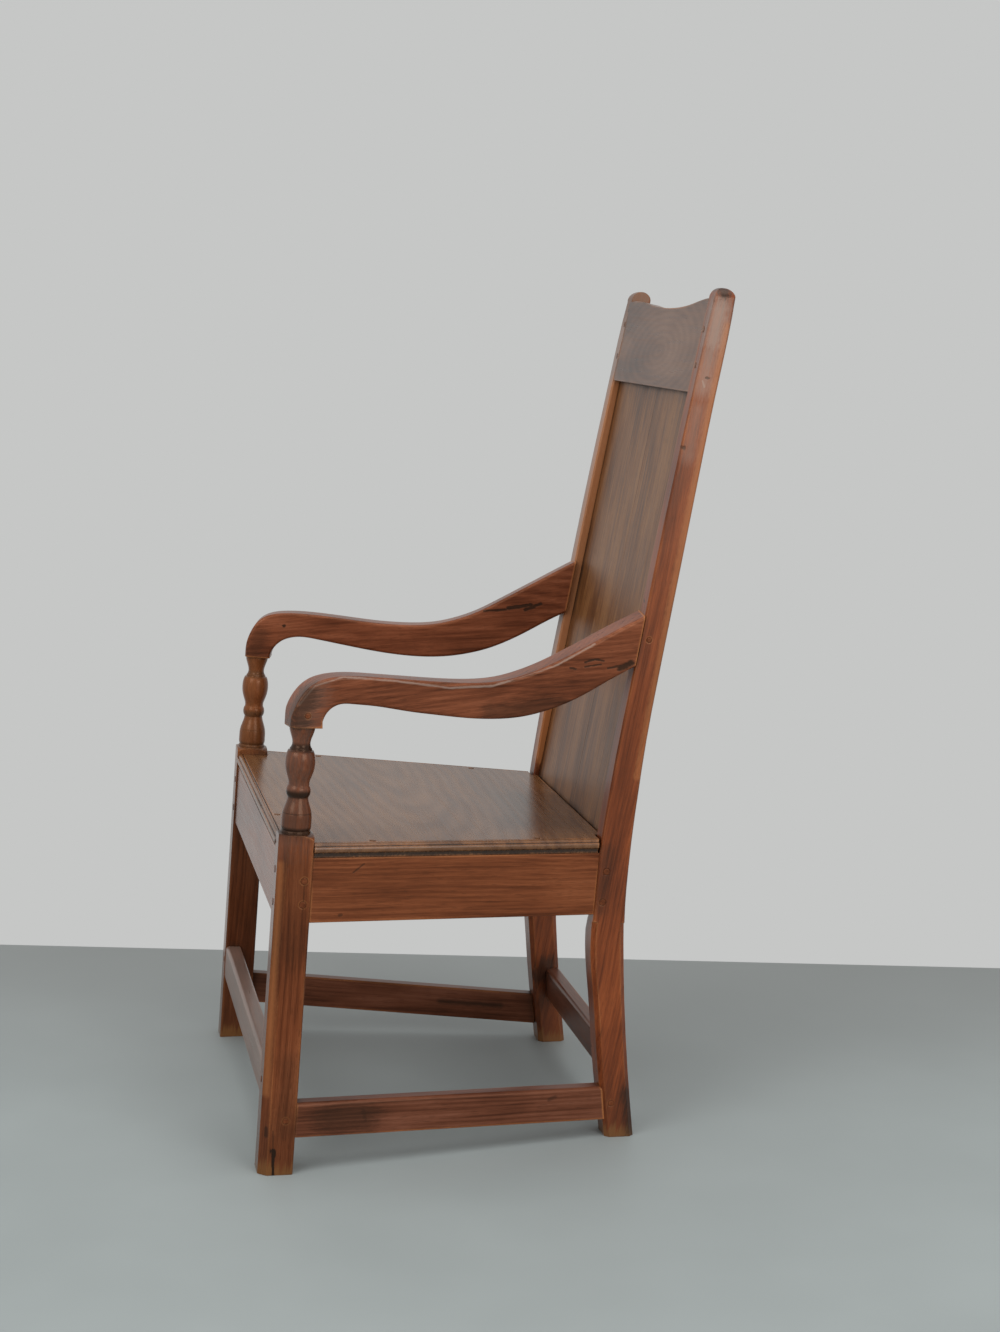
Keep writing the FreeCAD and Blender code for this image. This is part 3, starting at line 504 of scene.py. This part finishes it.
def polish(w, board, body, grain, dirt, grime_and_shade_cover):
    """The surface: polish that is duller on streaks and on grime and painted shade, over a shallow
    relief.
    """
    rounded = w.node("ShaderNodeBevel", {"Radius": bpy.context.scene.chair_figure.arris},
                     samples=BEVEL_SAMPLES)
    smooth = board.roughness - MEAN * STREAK_ROUGH
    rough = w.maths("MULTIPLY_ADD", grain.streaks, STREAK_ROUGH, smooth)
    rough = w.maths("MULTIPLY_ADD", dirt, DIRT_ROUGH, rough)
    relief = w.maths("MULTIPLY", grain.streaks, STREAK_RELIEF)
    relief = w.maths("MULTIPLY_ADD", grain.fibres, FIBRE_RELIEF, relief)
    relief = w.maths("ADD", relief, w.noise(grain.straight, DIMPLE_SIZE, detail=1.0))
    relief = w.maths("MULTIPLY_ADD", grime_and_shade_cover, MARK_RELIEF, relief)
    bump = w.node("ShaderNodeBump", {"Strength": board.relief, "Distance": RELIEF_DEPTH,
                                     "Height": relief, "Normal": rounded.outputs["Normal"]})
    skin = w.node("ShaderNodeBsdfPrincipled",
                  {"Base Color": body, "Roughness": rough, "Normal": bump.outputs["Normal"],
                   "IOR": board.ior, "Specular Tint": (*board.tint, 1.0)})
    return skin.outputs["BSDF"]


def new_material(name):
    """An empty material and the wiring for its nodes."""
    material = bpy.data.materials.new(name)
    material.use_nodes = True
    material.node_tree.nodes.clear()
    return material, Wiring(material.node_tree)


def wood(board):
    """The material of one piece, from the bare grain out to the polish."""
    scene = bpy.context.scene
    material, w = new_material(board.node + "_polished")
    place = w.node("ShaderNodeTexCoord").outputs["Object"]
    turn = Vector(board.grain).to_track_quat("X", "Z").inverted()
    grain = read_grain(w, place, turn)
    base = lighter(getattr(scene.chair_tones, board.tone), board.shade)
    body = bare_wood(w, board, base, grain, turn)
    body = rub_and_highlight_arrises(w, board, body, grain)
    dirt = corner_dirt(w, board, grain)
    body = w.mixed(dirt, body, scene.chair_tones.grime)
    if board.foot:
        body = wear_feet(w, body, place, grain)
    body, grime_and_shade_cover = lay_marks(w, board, body, place, grain)
    w.node("ShaderNodeOutputMaterial", {"Surface": polish(w, board, body, grain, dirt, grime_and_shade_cover)})
    return material


def dress(board):
    """Gives a CAD node its own wood."""
    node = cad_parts[board.node]
    material = wood(board)
    for held in node.material_slots:
        held.material = material


def both_sides(name, tone_name, grain, marks, far_shade=0.0, **more):
    """Boards of a left and a right piece. The grain of the right one mirrors that of the left, and a far
    shade below zero darkens it as painted shade.
    """
    boards = []
    for side, sign, shade in (("left", 1, 0.0), ("right", -1, far_shade)):
        boards.append(Board(name + "_" + side, tone_name, (sign * grain[0], grain[1], grain[2]),
                            marks=marks.get(side, []), shade=shade, **more))
    return boards


def mirrored(mark):
    """The same mark on the chair's other side."""
    start, end = [(-x, y, z) for x, y, z in (mark.start, mark.end)]
    return replace(mark, start=start, end=end)


def streaky(points, half, strength=0.9, soft=0.3, tone="grime"):
    """Marks that follow each other along a line of points."""
    return [Mark(a, b, half, strength, soft, tone) for a, b in zip(points, points[1:])]


class CHAIR_OT_front_legs(bpy.types.Operator):
    """Wood of the two front legs, with the split foot of the left one"""
    bl_idname = "chair.front_legs"
    bl_label = "Front legs"

    def execute(self, context):
        split = Mark((0.3275, -0.2953, 0.060), (0.3275, -0.2949, 0.012), 0.0009, 0.5)
        gape = Mark((0.3275, -0.2949, 0.026), (0.3275, -0.2949, 0.0), 0.0018, 1.0)
        hole = Mark((0.3275, -0.2948, 0.033), (0.3275, -0.2944, 0.027), 0.0034, 1.0)
        knot = Mark((0.3238, -0.3039, 0.062), (0.3238, -0.3039, 0.054), 0.003, 0.7, 0.6)
        crack = Mark((0.3275, -0.2572, 0.388), (0.3275, -0.2590, 0.352), 0.0006, 0.6)
        by_stretcher = Mark((0.3275, -0.274, 0.150), (0.3275, -0.277, 0.060), 0.014, 0.35, 0.9)
        smudge = Mark((0.3275, -0.2568, 0.391), (0.3275, -0.2568, 0.386), 0.004, 0.5, 0.6)
        # A painted highlight on the left leg's front-outer arris, standing in for a lit chamfer
        chamfer = Mark((0.3215, -0.3045, 0.110), (0.3205, -0.2872, 0.410), 0.005, 0.42, 1.1, "worn")
        block = Mark((0.3275, -0.276, 0.300), (0.3275, -0.268, 0.405), 0.022, 0.3, 0.9)
        # Painted sheen on the left turned support; the right one is made lighter
        support = Mark((0.305, -0.288, 0.46), (0.305, -0.280, 0.60), 0.04, 0.12, 0.8, "bloom")
        far_support = Mark((-0.305, -0.288, 0.46), (-0.305, -0.280, 0.60), 0.04, 0.25, 0.8, "worn")
        marks = {"left": [split, gape, hole, knot, crack, by_stretcher, smudge, chamfer, block, support],
                 "right": [far_support]}
        hollows = [Hollow(0.5447, 0.008, 0.9), Hollow(0.484, 0.008, 0.95), Hollow(0.4596, 0.0016, 0.7),
                   Hollow(0.437, 0.009, 0.9), Hollow(0.452, 0.040, 0.35)]
        for board in both_sides("front_leg", "leg", UP_LEG, marks, far_shade=-0.3, foot=True,
                                heart=(0.22, -0.20, 0.0), tilt=(0.03, 0.0), hollows=hollows,
                                roughness=0.22):
            dress(board)
        return {"FINISHED"}


class CHAIR_OT_back_posts(bpy.types.Operator):
    """Wood of the two raked back posts"""
    bl_idname = "chair.back_posts"
    bl_label = "Back posts"

    def execute(self, context):
        nick = Mark((0.2358, 0.2765, 1.0318), (0.2358, 0.2800, 1.0312), 0.0016, 0.7)
        glint = Mark((0.2358, 0.2715, 1.0278), (0.2358, 0.2745, 1.0200), 0.0016, 0.6, 0.4, "bloom")
        cap = Mark((0.2150, 0.294, 1.149), (0.2350, 0.300, 1.144), 0.008, 0.8, 0.5)
        front_arris = streaky([(0.2355, 0.2720, 1.115), (0.2360, 0.2475, 0.980),
                               (0.2365, 0.2050, 0.780)], 0.006, 0.75, 0.7, "ruddy")
        back_arris = streaky([(0.2355, 0.3030, 1.100), (0.2360, 0.2810, 0.980), (0.2365, 0.2460, 0.780),
                              (0.2370, 0.1980, 0.500)], 0.005, 0.4, 0.7, "worn")
        # Painted sheen high on the left post's outer face, fading downward
        top_sheen = Mark((0.2358, 0.2900, 1.120), (0.2358, 0.2840, 1.080), 0.017, 0.5, 1.0, "bloom")
        mid_sheen = Mark((0.2358, 0.2810, 1.065), (0.2358, 0.2720, 1.020), 0.013, 0.36, 1.2, "bloom")
        low_sheen = Mark((0.2360, 0.2664, 0.990), (0.2362, 0.2560, 0.930), 0.009, 0.2, 1.3, "bloom")
        far_ear = Mark((-0.2120, 0.290, 1.135), (-0.2350, 0.280, 1.115), 0.026, 0.9, 0.6, "crest")
        # A painted lit strip on the right post's inner face
        far_inner = Mark((-0.2090, 0.1655, 0.450), (-0.2090, 0.2650, 1.000), 0.018, 0.8, 0.6, "worn")
        scar = Mark((0.2355, 0.2455, 0.941), (0.2365, 0.2492, 0.9397), 0.0025, 0.7, 0.5)
        pin = Mark((0.2160, 0.2060, 0.7355), (0.2200, 0.2055, 0.7340), 0.0018, 0.8)
        by_rail = Mark((0.2408, 0.1500, 0.320), (0.2406, 0.1580, 0.400), 0.009, 0.35, 0.9)
        heel = Mark((0.2392, 0.206, 0.010), (0.2400, 0.198, 0.060), 0.010, 0.7, 0.7)
        inner_low = Mark((-0.196, 0.1740, 0.122), (-0.196, 0.1660, 0.106), 0.014, 0.8, 0.7)
        # Painted sheen on the right post's front face
        far_front = Mark((-0.2270, 0.1750, 0.560), (-0.2280, 0.2730, 1.100), 0.03, 0.6, 0.8, "bloom")
        marks = {"left": [nick, glint, cap, scar, pin, by_rail, heel, top_sheen, mid_sheen, low_sheen,
                          *front_arris, *back_arris],
                 "right": [inner_low, far_ear, far_front, far_inner]}
        for board in both_sides("back_post", "post", UP_POST, marks, foot=True,
                                heart=(0.262, 0.20, 0.66), tilt=(0.10, 0.0), ring_share=0.15,
                                roughness=0.3, ior=1.47, tint=(1.0, 0.8, 0.65), dirt=0.4):
            dress(board)
        return {"FINISHED"}


class CHAIR_OT_seat_rails(bpy.types.Operator):
    """Wood of the four rails under the seat"""
    bl_idname = "chair.seat_rails"
    bl_label = "Seat rails"

    def execute(self, context):
        scratch = Mark((0.3131, -0.1930, 0.3963), (0.3102, -0.1788, 0.4064), 0.0012, 0.6)
        dent = Mark((0.3162, -0.2110, 0.3414), (0.3162, -0.2080, 0.3414), 0.002, 0.6)
        marks = {"left": [scratch, dent]}
        for board in both_sides("seat_rail", "rail", ALONG_RAIL, marks,
                                heart=(0.24, 0.0, 0.30), tilt=(0.02, 0.0), ring_share=0.35,
                                patch_share=0.5):
            dress(board)
        # Painted sheen on the front rail's face
        pale = Mark((-0.28, -0.29, 0.35), (0.28, -0.29, 0.35), 0.1, 0.08, 0.8, "bloom")
        dress(Board("seat_rail_front", "rail", ACROSS, heart=(0.0, -0.24, 0.36), ring_share=0.1,
                    streak_share=0.25, relief=0.06, roughness=0.27, ior=1.58, tint=CLEAR,
                    marks=[pale]))
        dress(Board("seat_rail_back", "rail", ACROSS))
        return {"FINISHED"}


class CHAIR_OT_stretchers(bpy.types.Operator):
    """Wood of the four stretchers, rubbed along the top by feet, with painted highlight on the arrises,
    painted sheen on the front one and painted shade on the right one
    """
    bl_idname = "chair.stretchers"
    bl_label = "Stretchers"

    def execute(self, context):
        near_front = Mark((0.312, -0.225, 0.070), (0.304, -0.172, 0.064), 0.020, 0.55, 0.8)
        near_patch = Mark((0.3045, -0.176, 0.076), (0.3055, -0.172, 0.062), 0.004, 0.7, 0.6)
        near_knot = Mark((0.2535, 0.085, 0.0610), (0.2524, 0.0935, 0.0642), 0.003, 0.5, 0.6)
        far_dark = Mark((-0.2265, 0.1107, 0.052), (-0.2440, 0.0200, 0.056), 0.004, 0.75, 1.2)
        marks = {"left": [near_front, near_patch, near_knot], "right": [far_dark]}
        for board in both_sides("side_stretcher", "stretcher", ALONG_STRETCHER, marks, far_shade=-0.12,
                                heart=(0.26, 0.0, 0.02), ring_share=0.5, wear=1.0):
            dress(board)
        # Painted sheen on the front stretcher's face
        pale = Mark((-0.28, -0.30, 0.15), (0.28, -0.30, 0.15), 0.06, 0.35, 0.8, "bloom")
        dress(Board("front_stretcher", "stretcher", ACROSS, roughness=0.3, ior=1.58,
                    tint=(1.0, 0.95, 0.9), wear=1.0, marks=[pale]))
        dress(Board("back_stretcher", "stretcher", ACROSS, ior=1.5))
        return {"FINISHED"}


class CHAIR_OT_crest(bpy.types.Operator):
    """Wood of the crest rail"""
    bl_idname = "chair.crest"
    bl_label = "Crest rail"

    def execute(self, context):
        dress(Board("crest_rail", "crest", ACROSS, heart=(0.0, 0.268, 1.06), tilt=(0.0, 0.35),
                    ring=1.6, ring_share=0.36, streak_share=0.4, relief=0.15, roughness=0.3,
                    ior=1.5, tint=CLEAR))
        return {"FINISHED"}


class CHAIR_OT_panel(bpy.types.Operator):
    """Wood of the two upright boards of the back panel"""
    bl_idname = "chair.panel"
    bl_label = "Back panel"

    def execute(self, context):
        joint = Mark((0.018, 0.1650, 0.4422), (0.018, 0.2680, 1.0023), 0.0007, 0.8)
        marks = {"left": [joint], "right": [joint]}
        for board in both_sides("panel_board", "panel", UP_PANEL, marks,
                                heart=(-0.09, 0.16, 0.7), tilt=(0.04, 0.0), streak_share=1.2,
                                roughness=0.36, tint=(1.0, 0.9, 0.8), wear=0.3):
            dress(board)
        return {"FINISHED"}


class CHAIR_OT_seat(bpy.types.Operator):
    """Wood of the seat board, with painted shade in the hollows of its moulding and a painted reflection
    of the dark back on its rear
    """
    bl_idname = "chair.seat"
    bl_label = "Seat board"

    def execute(self, context):
        # Quirks, steps and coves of the moulding, darkened as painted shade
        front_quirk = Mark((-0.2819, -0.2824, 0.4386), (0.2819, -0.2824, 0.4386), 0.0012, 0.9)
        front_step = Mark((-0.2819, -0.2883, 0.4359), (0.2819, -0.2883, 0.4359), 0.0010, 0.8)
        front_cove = Mark((-0.2819, -0.2885, 0.4245), (0.2819, -0.2885, 0.4245), 0.0035, 0.7, 0.5)
        side_quirk = Mark((0.3196, -0.2445, 0.4365), (0.2335, 0.1482, 0.4146), 0.0012, 0.9)
        side_step = Mark((0.3254, -0.2446, 0.4334), (0.2394, 0.1481, 0.4115), 0.0010, 0.8)
        side_cove = Mark((0.3255, -0.2453, 0.4225), (0.2394, 0.1474, 0.4006), 0.0035, 0.8, 0.5)
        # Painted reflection of the dark back, darkening the seat's rear
        shadow = Mark((0.15, 0.10, 0.419), (-0.02, 0.10, 0.419), 0.05, 0.5, 1.0)
        side = [side_quirk, side_step, side_cove]
        marks = [shadow, front_quirk, front_step, front_cove, *side, *map(mirrored, side)]
        dress(Board("seat_board", "seat", ACROSS, heart=(-0.10, -0.08, 0.375), tilt=(0.11, 0.0),
                    ring=2.4, ring_share=0.4, streak_share=0.3, patch_share=0.4, relief=0.07,
                    roughness=0.26, ior=1.5, tint=CLEAR, marks=marks))
        return {"FINISHED"}


class CHAIR_OT_arms(bpy.types.Operator):
    """Wood of the two arms, with their knots and the grip that hands have darkened, and painted
    highlight, sheen and shade on the left one
    """
    bl_idname = "chair.arms"
    bl_label = "Arms"

    def execute(self, context):
        knots = streaky([(0.2558, 0.1186, 0.6580), (0.2532, 0.1326, 0.6615), (0.2508, 0.1454, 0.6591)],
                        0.0013, 0.85)
        knots += streaky([(0.2557, 0.1187, 0.6520), (0.2515, 0.1413, 0.6546)], 0.0012, 0.8)
        knots += streaky([(0.2596, 0.0977, 0.6515), (0.2580, 0.1061, 0.6498)], 0.0014, 0.8)
        knots += streaky([(0.2496, 0.1514, 0.6488), (0.2460, 0.1712, 0.6521)], 0.0014, 0.8)
        knots.append(Mark((0.2464, 0.1685, 0.6475), (0.2437, 0.1839, 0.6550), 0.0045, 0.9, 0.5))
        grip = Mark((0.3251, -0.265, 0.600), (0.3226, -0.256, 0.632), 0.018, 0.72, 0.8)
        # Painted sheen on the left arm's nose
        nose_sheen = Mark((0.3251, -0.262, 0.598), (0.3226, -0.250, 0.632), 0.020, 0.15, 0.8, "bloom")
        # Painted shade under the left arm
        under = Mark((0.2795, -0.012, 0.598), (0.2600, 0.085, 0.600), 0.012, 0.5, 0.8)
        far_knots = streaky([(-0.2239, 0.0729, 0.6646), (-0.2177, 0.1053, 0.6675)], 0.0016, 0.85)
        far_knots += streaky([(-0.2172, 0.1082, 0.6699), (-0.2109, 0.1420, 0.6751)], 0.0026, 0.9)
        far_knots += streaky([(-0.2125, 0.1333, 0.6673), (-0.2082, 0.1567, 0.6776)], 0.0022, 0.85)
        far_grip = Mark((-0.286, -0.266, 0.598), (-0.285, -0.258, 0.622), 0.012, 0.4, 0.8)
        plug = Mark((-0.2782, -0.2220, 0.636), (-0.2782, -0.2214, 0.636), 0.0025)
        # A painted highlight along the left arm's top outer arris
        arris = streaky([(0.3267, -0.266, 0.6175), (0.3230, -0.246, 0.6410), (0.3149, -0.209, 0.6509),
                         (0.3034, -0.140, 0.6433), (0.2903, -0.068, 0.6315), (0.2792, -0.009, 0.6317),
                         (0.2635, 0.077, 0.6549), (0.2529, 0.132, 0.6821)], 0.0012, 0.45, 0.7, "bloom")
        marks = {"left": [*knots, grip, nose_sheen, under, *arris], "right": [*far_knots, far_grip, plug]}
        for board in both_sides("arm", "arm", ALONG_ARM, marks, heart=(0.20, 0.0, 0.55),
                                tilt=(0.05, 0.0), roughness=0.3, wear=1.0, rubbed_above=0.2):
            dress(board)
        return {"FINISHED"}


class CHAIR_OT_pegs(bpy.types.Operator):
    """End grain of the pegs"""
    bl_idname = "chair.pegs"
    bl_label = "Pegs"

    def execute(self, context):
        for name in ("rail_pegs", "stretcher_pegs", "arm_pegs"):
            dress(Board(name, "leg", ACROSS, shade=-0.15, wear=0.0, dirt=0.5))
        dress(Board("crest_pegs", "crest", BACKWARD, wear=0.3))
        dress(Board("seat_pegs", "seat", UPWARD, wear=0.2))
        return {"FINISHED"}


# Floor: its reach to each side, half of its reach to the front, its cloudy patches and its roughness
FLOOR_REACH = 4.0
CLOUD_SIZE = (0.7, 0.7, 0.7)
CLOUD_SPAN = (0.3, 0.75)
FLOOR_UNEVEN = 0.07
FLOOR_ROUGH = 0.55

# The floor darkens towards its far edge: its tone there, how strongly that shows, and how far before
# the chair's middle it starts
FAR_SHADE = tone(134, 134, 132)
FAR_SHADE_WEIGHT = 0.5
FAR_SHADE_START = 0.2

# Width of the film for which the camera's lens is given, in millimetres
FILM_WIDTH = 36.0

# Each lamp's place and its share of the power
LAMPS = {"lamp_left": ((2.2, -2.6, 2.5), 0.85),
         "lamp_right": ((3.6, 1.35, 1.65), 0.9),
         "lamp_top": ((0.5, 0.1, 2.9), 0.45)}


def flat_sheet(name, corners, material):
    """One flat four-sided face."""
    mesh = bpy.data.meshes.new(name)
    mesh.from_pydata(corners, [], [range(len(corners))])
    mesh.materials.append(material)
    sheet = bpy.data.objects.new(name, mesh)
    bpy.context.scene.collection.objects.link(sheet)
    return sheet


def floor_paint(room):
    """Grey floor paint, a little uneven, and darker towards the far edge."""
    material, w = new_material("floor_paint")
    place = w.node("ShaderNodeTexCoord").outputs["Object"]
    cloudy = w.span(w.noise(place, CLOUD_SIZE, detail=4.0), *CLOUD_SPAN)
    body = w.mixed(cloudy, lighter(room.floor, -FLOOR_UNEVEN), lighter(room.floor, FLOOR_UNEVEN))
    inward = (math.cos(room.far_turn), -math.sin(room.far_turn), 0.0)
    far = w.span(w.vector("DOT_PRODUCT", place, inward), FAR_SHADE_START, -room.far_edge)
    body = w.mixed(w.maths("MULTIPLY", far, FAR_SHADE_WEIGHT), body, FAR_SHADE)
    skin = w.node("ShaderNodeBsdfPrincipled", {"Base Color": body, "Roughness": FLOOR_ROUGH})
    w.node("ShaderNodeOutputMaterial", {"Surface": skin.outputs["BSDF"]})
    return material


class CHAIR_OT_stage(bpy.types.Operator):
    """Plain pale backdrop, painted floor, three soft lamps and the photograph's viewpoint"""
    bl_idname = "chair.stage"
    bl_label = "Stage"

    def execute(self, context):
        room = context.scene.chair_room
        self.lay_floor(room)
        self.paint_backdrop(context.scene, room)
        for name, (place, power_share) in LAMPS.items():
            self.hang_lamp(name, room, place, power_share)
        self.stand_camera(context.scene.chair_camera)
        context.scene.view_settings.view_transform = "Standard"
        return {"FINISHED"}

    def lay_floor(self, room):
        """The floor, up to its far edge, where the backdrop begins."""
        turn = Matrix.Rotation(-room.far_turn, 4, "Z")
        back, front = -room.far_edge, FLOOR_REACH * 2
        corners = []
        for x, y in ((back, -FLOOR_REACH), (front, -FLOOR_REACH), (front, FLOOR_REACH),
                     (back, FLOOR_REACH)):
            corners.append(turn @ Vector((x, y, 0.0)))
        flat_sheet("floor", corners, floor_paint(room))

    def paint_backdrop(self, scene, room):
        """The world is the backdrop to the eye and in reflections, and the fill light elsewhere."""
        world = bpy.data.worlds.new("backdrop")
        world.use_nodes = True
        world.node_tree.nodes.clear()
        w = Wiring(world.node_tree)
        path = w.node("ShaderNodeLightPath").outputs
        seen = w.maths("MAXIMUM", path["Is Camera Ray"], path["Is Glossy Ray"])
        seen = w.maths("MAXIMUM", seen, path["Is Transmission Ray"])
        fill = w.node("ShaderNodeBackground", {"Color": (1.0, 1.0, 1.0, 1.0), "Strength": room.fill})
        plain = w.node("ShaderNodeBackground", {"Color": (*room.backdrop, 1.0), "Strength": 1.0})
        both = w.node("ShaderNodeMixShader", {"Fac": seen})
        w.feed(both.inputs[1], fill.outputs["Background"])
        w.feed(both.inputs[2], plain.outputs["Background"])
        w.node("ShaderNodeOutputWorld", {"Surface": both.outputs["Shader"]})
        scene.world = world

    def hang_lamp(self, name, room, place, power_share):
        """A soft lamp that shines at the middle of the chair."""
        light = bpy.data.lights.new(name, "AREA")
        light.energy = room.lamp * power_share
        light.size = room.lamp_wide
        lamp = bpy.data.objects.new(name, light)
        lamp.location = place
        aim = (cad_box[0] + cad_box[1]) / 2 - Vector(place)
        lamp.rotation_euler = aim.to_track_quat("-Z", "Y").to_euler()
        bpy.context.scene.collection.objects.link(lamp)

    def stand_camera(self, seen):
        """The camera, turned, dipped and rolled as it was for the photograph."""
        look = Vector((-math.cos(seen.turn) * math.cos(seen.dip),
                       math.sin(seen.turn) * math.cos(seen.dip), -math.sin(seen.dip)))
        level = look.cross(Vector((0.0, 0.0, 1.0))).normalized()
        upward = level.cross(look)
        right = level * math.cos(seen.roll) + upward * math.sin(seen.roll)
        up = upward * math.cos(seen.roll) - level * math.sin(seen.roll)
        axes = Matrix((right, up, -look)).transposed()
        lens = bpy.data.cameras.new("viewpoint")
        lens.lens = seen.lens
        lens.sensor_width = FILM_WIDTH
        camera = bpy.data.objects.new("viewpoint", lens)
        camera.matrix_world = Matrix.Translation(seen.place) @ axes.to_4x4()
        bpy.context.scene.collection.objects.link(camera)
        bpy.context.scene.camera = camera


STEPS = (CHAIR_OT_front_legs, CHAIR_OT_back_posts, CHAIR_OT_seat_rails, CHAIR_OT_stretchers,
         CHAIR_OT_crest, CHAIR_OT_panel, CHAIR_OT_seat, CHAIR_OT_arms, CHAIR_OT_pegs,
         CHAIR_OT_stage)
GROUPS = {"chair_tones": ChairWoodTones, "chair_figure": ChairWoodFigure, "chair_room": ChairRoom,
          "chair_camera": ChairCamera}


class CHAIR_PT_pieces(bpy.types.Panel):
    """Sizes, colours and steps of the chair"""
    bl_idname = "CHAIR_PT_pieces"
    bl_label = "Wainscot armchair"
    bl_space_type = "VIEW_3D"
    bl_region_type = "UI"
    bl_category = "Armchair"

    def draw(self, context):
        for step in STEPS:
            self.layout.operator(step.bl_idname)
        for group, kind in GROUPS.items():
            column = self.layout.column()
            for name in kind.__annotations__:
                column.prop(getattr(context.scene, group), name)


def register():
    for kind in (*GROUPS.values(), *STEPS, CHAIR_PT_pieces):
        bpy.utils.register_class(kind)
    for group, kind in GROUPS.items():
        setattr(bpy.types.Scene, group, bpy.props.PointerProperty(type=kind))


def unregister():
    for group in GROUPS:
        delattr(bpy.types.Scene, group)
    for kind in (CHAIR_PT_pieces, *STEPS[::-1], *GROUPS.values()):
        bpy.utils.unregister_class(kind)


def main():
    register()
    for step in STEPS:
        family, name = step.bl_idname.split(".")
        getattr(getattr(bpy.ops, family), name)()


if __name__ == "__main__":
    main()
